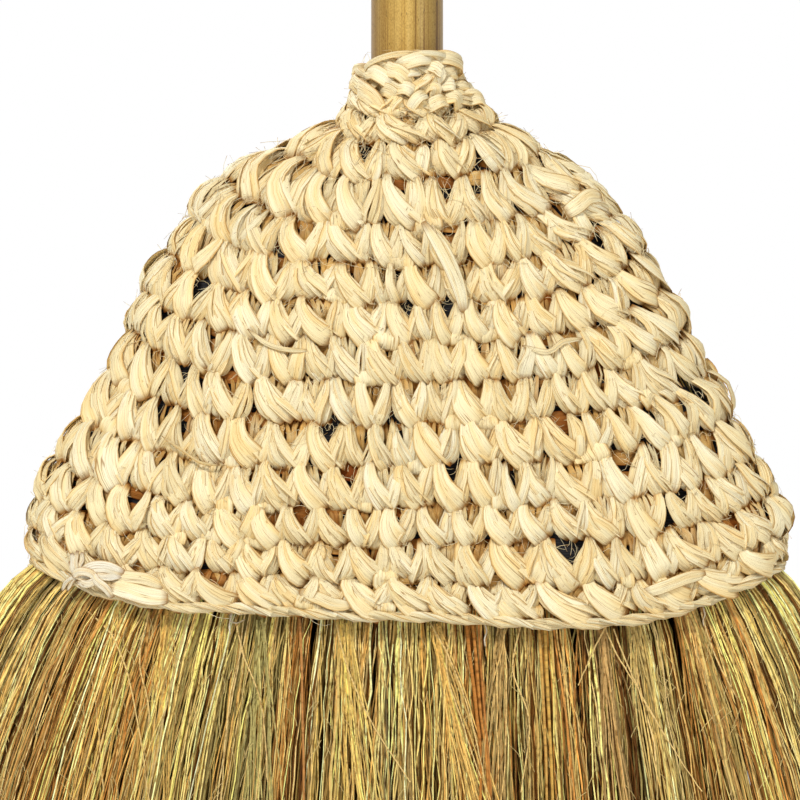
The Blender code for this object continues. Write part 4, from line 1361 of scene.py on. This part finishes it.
end_at_floor = spread_down(FAN_EDGE, 0.0, HEM_HEIGHT * MM, 1.0)[0]
print("the fan's end at the floor:", round(end_at_floor / MM, 1), "mm from the middle")

# %% Grow stalks
def grow(count, left, right, face):
    """Stalks, their places at the hem in millimetres, and how near the fan's surface they are."""
    across, deep = choose_roots(count, left, right, face)
    power = roundness(ROUNDS)
    edge = np.abs(across * FAN_SHARE) ** power
    limit = (1 - edge) ** (1 / power)
    rings = inside_cover(across, deep, limit) + below_hem(across, deep, limit)
    outside = (edge + np.abs(deep) ** power * (1 - edge)) ** (1 / power)
    return np.stack(rings, axis=1), FAN_EDGE * across / MM, outside


print("rings in a stalk:", len(LEVELS_INSIDE) + len(WAYS_DOWN))

# %% Mix the colours of the fan
GOLD, PALE, OLIVE, GREEN = (0.77, 0.48, 0.14), (0.86, 0.63, 0.25), (0.59, 0.43, 0.14), (0.54, 0.44, 0.15)
BROWN, DARK, ORANGE = (0.36, 0.17, 0.04), (0.09, 0.034, 0.005), (0.68, 0.31, 0.07)
STALK_COLOURS = np.array((GOLD, PALE, OLIVE, GREEN, BROWN, DARK, ORANGE))
# Where a zone of the fan ends at the hem, in millimetres from the middle, and the mix of stalks
# in it: gold, pale, olive, green, brown, dark and orange.
ZONES = (
    (-106, (5, 4, 5, 2, 1, 1, 0)),
    (-72, (7, 4, 3, 0, 3, 1, 1)),
    (-41, (4, 5, 7, 7, 0, 1, 0)),
    (-31, (3, 1, 2, 0, 7, 2, 0)),
    (20, (8, 6, 5, 1, 1, 2, 0)),
    (27, (2, 1, 1, 0, 2, 2, 7)),
    (46, (4, 3, 5, 2, 2, 2, 0)),
    (58, (5, 2, 3, 1, 2, 2, 3)),
    (82, (2, 2, 4, 2, 2, 6, 0)),
    (98, (3, 2, 5, 2, 3, 3, 0)),
    (107, (6, 4, 2, 0, 3, 1, 1)),
    (140, (3, 4, 8, 7, 3, 3, 0)),
)
# How light the fan is at these places.
LIGHT_PLACES = (-130, -60, 0, 60, 70, 84, 96, 140)
LIGHTNESS = (0.98, 1.02, 1.06, 0.98, 0.84, 1.02, 1.0, 0.90)


def stalk_colours(places, outside):
    """A colour for each stalk, drawn from the mix of its zone. Painted shade darkens it deep in the
    fan, and painted light brightens the stalks of its outer face.
    """
    edges = np.array([zone[0] for zone in ZONES])
    mixes = np.array([zone[1] for zone in ZONES], dtype=float)
    mixes /= mixes.sum(axis=1, keepdims=True)
    zone = np.searchsorted(edges, places + chance.normal(0, 1.2, len(places)))
    zone = np.clip(zone, 0, len(edges) - 1)
    draw = chance.uniform(0, 1, len(places))
    kind = (draw[:, None] > np.cumsum(mixes[zone], axis=1)).sum(axis=1)
    kind = np.clip(kind, 0, len(STALK_COLOURS) - 1)
    # Painted light and shade: a stalk deep in the fan is painted dark, and one on its outer face brighter
    # than its own colour.
    light = np.interp(outside, (0.0, 0.82, 0.93, 1.0), (0.06, 0.11, 0.70, 1.50))
    light *= np.interp(places, LIGHT_PLACES, LIGHTNESS)
    # Many stalks are duller than the rest, and none is much brighter.
    light *= np.minimum(chance.normal(1.06, 0.36, len(places)), 1.32)
    clump = np.round(places / CLUMP_PITCH).astype(int) + 200
    light *= np.random.default_rng(5).normal(1.0, 0.12, 400)[clump]
    # Painted shade: the deeper a stalk lies, the more red it is painted.
    near = np.interp(outside, (0.84, 0.98), (0.0, 1.0))
    tone_and_painted_light = np.stack((light, light * (0.8 + 0.2 * near), light * (0.4 + 0.6 * near)), axis=1)
    return STALK_COLOURS[kind] * tone_and_painted_light


def paint(piece, colours):
    """Gives each point of a piece its colour."""
    layer = piece.data.attributes.new("stalk_colour", "FLOAT_COLOR", "POINT")
    layer.data.foreach_set("color", np.hstack((colours, np.ones((len(colours), 1)))).ravel())


print("zones of the fan:", len(ZONES))

# %% Grow the bundles
STALK_RADIUS = 0.31 * MM
STALK = model_strip(sides=3, segments=len(LEVELS_INSIDE) + len(WAYS_DOWN) - 1, back=1.0)
CENTRE_COUNT, SIDE_COUNT = 620, 920
CENTRE_SHARE = CENTRE_EDGE / FAN_EDGE
BUNDLE_EDGES = np.linspace(CENTRE_SHARE, 1.0, SIDE_BUNDLES + 1)
SLOTS = {
    "left": ("grass_brown", "grass_olive", "grass_golden", "grass_brown", "grass_olive"),
    "right": ("grass_brown", "grass_golden", "grass_olive", "grass_brown", "grass_olive"),
}


def grow_bundle(bundle, count, left, right, face, slot):
    """One bundle of stalks, which replaces the CAD bundle of the same name."""
    rings, places, outside = grow(count, left, right, face)
    outward = np.zeros_like(rings)
    outward[..., 1] = np.sign(rings[:, len(LEVELS_INSIDE), 1])[:, None]
    thick = STALK_RADIUS * np.clip(chance.normal(1.0, 0.25, count), 0.5, 1.7)
    widths = np.outer(thick, np.linspace(1.0, 0.75, STALK["rings"]))
    spin = np.outer(chance.uniform(0, FULL_TURN, count), np.ones(STALK["rings"]))
    stalks = sweep(STALK, rings, outward, widths, widths, spin)
    stalks[..., 2] = np.maximum(stalks[..., 2], 0.0)
    parts = [(STALK, stalks, chance.uniform(0, 1, count))]
    piece = make_piece("stalks_" + bundle, parts, GRASS, slot, "grass_" + bundle)
    colours = np.clip(stalk_colours(places, outside), 0, 1)
    paint(piece, np.repeat(colours, len(STALK["across"]), axis=0))


for half, face in (("front", -1), ("back", 1)):
    grow_bundle("centre_" + half, CENTRE_COUNT, -CENTRE_SHARE, CENTRE_SHARE, face, "grass_golden")
for side, sign in (("left", -1), ("right", 1)):
    for number, slot in enumerate(SLOTS[side]):
        near, far = sorted(sign * BUNDLE_EDGES[number : number + 2])
        grow_bundle(f"{side}_{number + 1}", SIDE_COUNT, near, far, 0, slot)
print("stalks:", 2 * CENTRE_COUNT + 2 * SIDE_BUNDLES * SIDE_COUNT)

# %% [markdown]
# ## Tufts, straws and stray stalks
# Finer stems lie in front of the bundles. Tufts spread from one place at the hem, flat straws
# hang straight down, and a few stalks have sprung out and cross the others. All are drawn through
# points of the picture, just in front of the fan, because their places are what the eye knows the
# real broom by.

# %% Draw stems in front of the fan
def before_fan(pixels, gap):
    """Points that lie a gap in front of the fan, behind these points of the picture."""
    x, z = behind_pixels(*np.array(pixels, dtype=float).T)
    down = np.clip(1 - z / (HEM_HEIGHT * MM), 0, 1)
    across = np.clip(np.abs(x) / (FAN_EDGE * (1 + 0.35 * down)), 0, 0.98)
    limit = (1 - across ** roundness(ROUNDS)) ** (1 / roundness(ROUNDS))
    y = -half_depth(ROUNDS, GRASS_INSET) * limit * (1 + DEEPEN * down) - gap
    return np.stack((x, y, z), axis=1)


def draw(pixels, radius, gap, rings=16, crinkle=0.0, sides=3):
    """One thin stem through points of the picture. Crinkle is how far it wanders off them."""
    model = model_strip(sides=sides, segments=rings - 1, back=1.0)
    path = smooth_weights(len(pixels), rings) @ before_fan(pixels, gap)
    path[:, :2] += chance.normal(0, 1, (rings, 2)) * crinkle
    widths = radius * np.linspace(1, 0.7, rings)[None]
    outward = np.tile((0.0, -1.0, 0.0), (1, rings, 1))
    return model, sweep(model, path[None], outward, widths, widths, np.zeros_like(widths))


def make_stems(name, parts, colours):
    """One piece of grass stems, each with its own colour."""
    piece = make_piece(name, parts, GRASS, "grass_golden")
    points = [places.shape[0] * places.shape[1] for _, places, _ in parts]
    paint(piece, np.repeat(np.array(colours), points, axis=0))


print("a point before the fan:", before_fan([(MIDDLE_COLUMN, HEM_ROW)], 0.0)[0].round(4))

# %% Spread the tufts
# Each tuft: its pixel at the hem, the pixel where it comes to on the floor, how many stems, and
# their colour.
TUFTS = (
    ((436, 626), (560, 1086), 26, (0.72, 0.48, 0.14)),
    ((500, 626), (470, 1086), 18, (0.46, 0.31, 0.11)),
    ((598, 622), (650, 1086), 18, (0.44, 0.28, 0.10)),
    ((634, 618), (735, 1086), 20, (0.50, 0.36, 0.12)),
    ((345, 622), (390, 1086), 22, (0.68, 0.48, 0.14)),
    ((262, 618), (250, 1086), 20, (0.40, 0.34, 0.12)),
    ((170, 612), (120, 1086), 22, (0.72, 0.48, 0.14)),
    ((118, 602), (10, 1086), 20, (0.72, 0.50, 0.16)),
    ((688, 610), (840, 1086), 20, (0.62, 0.38, 0.12)),
    ((722, 602), (880, 1086), 26, (0.56, 0.44, 0.15)),
    ((752, 590), (900, 1086), 26, (0.60, 0.50, 0.18)),
    ((70, 590), (-80, 1086), 24, (0.64, 0.48, 0.15)),
    ((40, 580), (-90, 1086), 20, (0.60, 0.48, 0.15)),
)
parts, colours = [], []
for (top, top_row), (foot, foot_row), count, colour in TUFTS:
    for _ in range(count):
        x = top + chance.normal(0, 3.0)
        end = foot + chance.normal(0, 26)
        row = top_row + chance.uniform(-4, 4)
        bow = chance.normal(0, 5)
        bends = [(x + (end - x) * way + bow, row + drop) for way, drop in ((0.16, 80), (0.42, 200))]
        pixels = [(x, row), *bends, (end, foot_row)]
        gap = chance.uniform(0.2, 1.2) * MM
        stem = draw(pixels, 0.33 * MM, gap, 16, 0.22 * MM)
        parts.append((*stem, chance.uniform(0, 1, 1)))
        colours.append(np.clip(np.array(colour) * chance.normal(1.25, 0.35), 0, 1))
make_stems("tufts", parts, colours)
print("stems in the tufts:", len(parts))

# %% Lay the straws and the stray stalks
# Straws: points of the picture, half width and colour.
STRAWS = (
    (((466, 622), (470, 660), (476, 710), (480, 790), (470, 1080)), 0.75, (0.52, 0.21, 0.04)),
    (((472, 622), (476, 660), (480, 710), (488, 790), (500, 1080)), 0.65, (0.56, 0.24, 0.05)),
    (((478, 622), (480, 660), (484, 710), (490, 790), (505, 1080)), 0.50, (0.50, 0.21, 0.05)),
    (((544, 624), (546, 670), (549, 730), (552, 800), (560, 1080)), 0.70, (0.66, 0.40, 0.09)),
    (((538, 624), (541, 670), (544, 730), (546, 800), (548, 1080)), 0.60, (0.62, 0.36, 0.09)),
    (((550, 624), (553, 670), (556, 730), (560, 800), (580, 1080)), 0.50, (0.64, 0.42, 0.12)),
    (((300, 618), (302, 660), (303, 720), (304, 800), (300, 1080)), 0.55, (0.52, 0.24, 0.07)),
    (((150, 608), (146, 660), (140, 720), (132, 800), (90, 1080)), 0.60, (0.60, 0.34, 0.09)),
    (((700, 606), (710, 660), (722, 720), (738, 800), (800, 1080)), 0.55, (0.50, 0.27, 0.08)),
)
STRAY_COLOUR = (0.82, 0.58, 0.22)
STRAY_STALKS = (
    ((66, 595), (90, 613), (110, 632), (122, 656), (131, 684), (140, 730), (150, 800)),
    ((58, 600), (80, 640), (96, 700), (104, 790)),
    ((600, 618), (614, 650), (638, 690), (668, 742)),
    ((612, 628), (628, 668), (652, 716), (700, 790)),
    ((606, 622), (592, 650), (584, 668), (577, 684)),
    ((430, 622), (452, 664), (470, 716), (486, 790)),
    ((452, 620), (446, 668), (462, 722), (480, 776)),
    ((336, 622), (348, 668), (372, 722), (410, 780)),
    ((236, 618), (244, 654), (262, 704), (268, 780)),
    ((150, 610), (140, 660), (150, 716), (136, 790)),
    ((520, 624), (512, 668), (528, 720), (520, 790)),
    ((700, 612), (716, 660), (744, 716), (762, 790)),
)
parts = []
for pixels, half, _ in STRAWS:
    parts.append((*draw(pixels, half * MM, 0.9 * MM, 24, sides=5), chance.uniform(0, 1, 1)))
make_stems("straws", parts, [colour for _, _, colour in STRAWS])
parts = []
for pixels in STRAY_STALKS:
    parts.append((*draw(pixels, 0.36 * MM, 2.4 * MM, 24, 0.08 * MM), chance.uniform(0, 1, 1)))
make_stems("stray_stalks", parts, [STRAY_COLOUR] * len(parts))
print("straws:", len(STRAWS), "stray stalks:", len(STRAY_STALKS))

# %% [markdown]
# Short fine fibres have split off the stalks on both faces of the fan and curl away from it. A few
# pale thread ends hang from the hem. Both break up the fan's smooth surface.

# %% Curl the fibres and hang the thread ends
FIBRES = 1100
FIBRE_GUIDES = 5
FIBRE_COLOUR = (0.66, 0.50, 0.20)
THREAD_ENDS = (
    ((231, 612), (232, 620), (238, 622), (246, 618)),
    ((233, 611), (231, 619), (230, 626), (231, 634)),
    ((484, 622), (486, 630), (484, 638), (485, 646)),
    ((702, 606), (704, 614), (702, 620), (703, 626)),
)


def curl(count, face):
    """Fibres on the front, where face is -1, or on the back, where it is 1."""
    x = np.sin(chance.uniform(-1, 1, count) * math.pi / 2) * FAN_EDGE
    way = chance.uniform(0.0, 0.95, count)
    power = roundness(ROUNDS)
    limit = (1 - np.abs(x / FAN_EDGE * FAN_SHARE) ** power) ** (1 / power)
    root_z = height_at(ROUNDS, x / FAN_EDGE * FAN_SHARE)
    start = spread_down(x, face * half_depth(ROUNDS, GRASS_INSET) * limit, root_z, way)
    reach = chance.uniform(3.0, 9.0, (count, 1)) * MM
    guides = np.repeat(np.stack(start, axis=1)[:, None], FIBRE_GUIDES, axis=1)
    slant, bend = chance.normal(0, 0.3, (2, count, 1))
    for step, part in enumerate(np.linspace(0, 1, FIBRE_GUIDES)):
        guides[:, step, 0:1] += reach * (slant * part + bend * part ** 2)
        guides[:, step, 1:2] += face * chance.uniform(0.2, 1.0, (count, 1)) * MM
        guides[:, step, 2:3] += reach * (part - 0.5)
    guides[..., 2] = np.maximum(guides[..., 2], 1.0 * MM)
    paths = np.einsum("rk,skc->src", smooth_weights(FIBRE_GUIDES, HAIR["rings"]), guides)
    widths = np.full((count, HAIR["rings"]), 0.14 * MM)
    outward = np.zeros_like(paths)
    outward[..., 1] = face
    places = sweep(HAIR, paths, outward, widths, widths, np.zeros_like(widths))
    return HAIR, places, chance.uniform(0, 1, count)


make_stems("grass_fibres", [curl(FIBRES, -1), curl(FIBRES, 1)], [FIBRE_COLOUR] * 2)
parts = []
for pixels in THREAD_ENDS:
    parts.append((*draw(pixels, 0.33 * MM, 3.0 * MM, sides=5), chance.uniform(0, 0.2, 1)))
make_piece("thread_ends", parts, PALE_RAFFIA, "pale_raffia")
print("grass fibres:", 2 * FIBRES, "thread ends:", len(THREAD_ENDS))

# %% [markdown]
# ## Cords in the fan
# Two rows of cord stitched round the fan hold it flat. They lie under the lining, out of sight,
# and are made as the edgings are.

# %% Make the fan's cords
CORD_INSET = 9.6 * MM
# How far down the cover the rows lie, as a share of its height.
CORD_DROPS = {"upper": 0.393, "lower": 0.862}
for name, drop in CORD_DROPS.items():
    level = float(np.interp(drop, OUTLINE[:, 1], OUTLINE[:, 0]))
    even = form_table(CORD_INSET, [level], 240)[0]
    spine = np.concatenate((even, even[1:3]))
    model, places = twist(
        spine, spine * (1, 4, 0), plies=2, strips=2, ply_reach=0.35 * MM, strip_reach=0.15 * MM,
        half=0.33 * MM, turns=60, sides=6,
    )
    parts = [(model, places, chance.uniform(0.4, 0.9, len(places)))]
    make_piece(f"twisted_fan_cord_{name}", parts, RAFFIA, "stitching_cord", f"fan_cord_{name}")
print("fan cords:", len(CORD_DROPS))

# %% [markdown]
# ## Bamboo
# The handle is a whole culm: golden brown, with long fibres that show as streaks, small dark
# flecks, and the low gloss of its skin. Each node is a scar with a ridge above it, darker than the
# rest. Noise that is squeezed across the culm and stretched along it makes the streaks. Painted
# shade darkens both edges of the culm, the left one most, and a painted highlight runs down it
# left of the middle.

# %% Make the bamboo finish
HANDLE_TOP_Z = 1.0
NODE_HEIGHTS = (0.525, 0.735, 0.945)


def bamboo_finish(name):
    """The skin of a culm that stands along Z, with a scar at each node."""
    material, shader, add = start_material(name, 0.36, specular=0.3)
    place = add("TexCoord").outputs["Object"]

    def noise(across, along, detail, roughness=0.5):
        stretch = add("Mapping", {"vector_type": "POINT"}, Vector=place, Scale=(across, across, along))
        vector = stretch.outputs["Vector"]
        node = add("TexNoise", Vector=vector, Scale=1.0, Detail=detail, Roughness=roughness)
        return node.outputs["Fac"]

    streak = noise(420, 9, 3.0, roughness=0.6)
    base = ramp(
        add, streak, (0.30, (0.34, 0.195, 0.045)), (0.45, (0.49, 0.30, 0.068)),
        (0.60, (0.54, 0.345, 0.09)), (0.75, (0.64, 0.45, 0.16)),
    )
    tone = ramp(add, noise(90, 4, 1.0), (0.35, grey(0.72)), (0.65, grey(1.15)))
    mottle = ramp(
        add, noise(2600, 1300, 2.0), (0.35, (0.84, 0.80, 0.74)), (0.5, PLAIN), (0.65, (1.12, 1.15, 1.22))
    )
    lines = ramp(
        add, noise(900, 5, 2.0),
        (0.36, (0.50, 0.40, 0.28)), (0.46, PLAIN), (0.58, PLAIN), (0.70, (1.18, 1.22, 1.30)),
    )
    dots = ramp(add, noise(1300, 420, 1.0), (0.25, grey(0.55)), (0.33, PLAIN))
    parted = add("SeparateXYZ", Vector=place)
    # Painted shade darkens the skin at both edges, most on the left, and a painted highlight lies
    # left of the middle. Most of its lines are on the right.
    over = add("MapRange", Value=parted.outputs["X"], From_Min=-12.5 * MM, From_Max=12.5 * MM)
    over = over.outputs["Result"]
    side = ramp(
        add, over, (0.0, (0.50, 0.46, 0.46)), (0.10, (0.80, 0.76, 0.72)), (0.28, (1.0, 0.99, 0.96)),
        (0.42, (1.14, 1.14, 1.12)), (0.55, grey(0.98)), (0.8, (0.92, 0.92, 0.88)),
        (1.0, (0.80, 0.78, 0.74)),
    )
    lined = add("MapRange", Value=over, From_Min=0.45, From_Max=0.62, To_Min=0.35, To_Max=1.0)
    closest = None
    for height in NODE_HEIGHTS:
        off = work_out(add, "ABSOLUTE", work_out(add, "SUBTRACT", parted.outputs["Z"], height))
        closest = off if closest is None else work_out(add, "MINIMUM", closest, off)
    scar = add("MapRange", Value=closest, From_Min=0.5 * MM, From_Max=6 * MM).outputs["Result"]
    ring = ramp(add, scar, (0.0, (0.35, 0.24, 0.15)), (0.35, (0.85, 0.8, 0.7)), (1.0, PLAIN))
    colour = multiply(add, layered(add, base, tone, mottle), lines, lined.outputs["Result"])
    colour = layered(add, colour, dots, ring, side)
    finish_surface(add, shader, colour, streak, 0.25, 0.2 * MM)
    return material


BAMBOO = bamboo_finish("bamboo")
print("finish:", BAMBOO.name)

# %% [markdown]
# The culm is modelled as by hand, from one circle that is extruded up and resized from one height
# to the next. At the top the last steps go in and down, which leaves the hollow of the cut end.

# %% Draw the culm's profile
# Height over a node and how far the skin stands out there, in millimetres.
NODE_PROFILE = (
    (-9, 0.0), (-4.5, 0.15), (-2.4, 0.55), (-1.3, 0.85), (-0.5, 0.90), (-0.1, 0.35),
    (0.2, -0.15), (0.6, 0.30), (1.2, 0.55), (2.4, 0.35), (5, 0.08), (9, 0.0),
)
CULM_RADII = (12.85, 11.95)
WALL, RECESS, EDGE = 3.8 * MM, 6 * MM, 0.6 * MM


def culm_radius(z):
    """The culm narrows evenly from its foot to its top."""
    foot, top = CULM_RADII
    return foot * MM + (top - foot) * MM * (z - HANDLE_FOOT_Z) / (HANDLE_TOP_Z - HANDLE_FOOT_Z)


foot, top = culm_radius(HANDLE_FOOT_Z), culm_radius(HANDLE_TOP_Z)
profile = [(HANDLE_FOOT_Z, foot - EDGE), (HANDLE_FOOT_Z + EDGE, foot)]
for node in NODE_HEIGHTS:
    profile += [(node + up * MM, culm_radius(node) + out * MM) for up, out in NODE_PROFILE]
profile += [(HANDLE_TOP_Z - EDGE, top), (HANDLE_TOP_Z, top - EDGE), (HANDLE_TOP_Z, top - WALL)]
profile += [(HANDLE_TOP_Z - RECESS, top - WALL)]
print("culm rings:", len(profile))

# %% Extrude the culm
bpy.ops.object.select_all(action="DESELECT")
start_z, start_radius = profile[0]
bpy.ops.mesh.primitive_circle_add(
    vertices=64, radius=start_radius, fill_type="NGON", location=(0, 0, start_z)
)
culm = bpy.context.object
culm.name = "culm"
bpy.ops.object.transform_apply(location=True, rotation=False, scale=False)
bpy.ops.object.mode_set(mode="EDIT")
for (z, radius), (next_z, next_radius) in zip(profile, profile[1:]):
    bpy.ops.mesh.extrude_region_move(TRANSFORM_OT_translate={"value": (0, 0, next_z - z)})
    grown = next_radius / radius
    bpy.ops.transform.resize(value=(grown, grown, 1), center_override=(0, 0, next_z))
bpy.ops.mesh.select_all(action="SELECT")
bpy.ops.mesh.normals_make_consistent(inside=False)
bpy.ops.object.mode_set(mode="OBJECT")
bpy.ops.object.shade_smooth_by_angle(angle=math.radians(40))
culm.data.materials.append(BAMBOO)
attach(culm, "root")
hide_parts("handle")
print("culm faces:", len(culm.data.polygons))

# %% [markdown]
# ## Peg
# A bamboo peg pins the handle to the fan. It is hidden, and its CAD form is already right, so it
# keeps that form and only gets a finish.

# %% Finish the peg
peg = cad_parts["handle_peg"]
for slot in peg.material_slots:
    slot.material = BAMBOO
print("peg slots:", len(peg.material_slots))
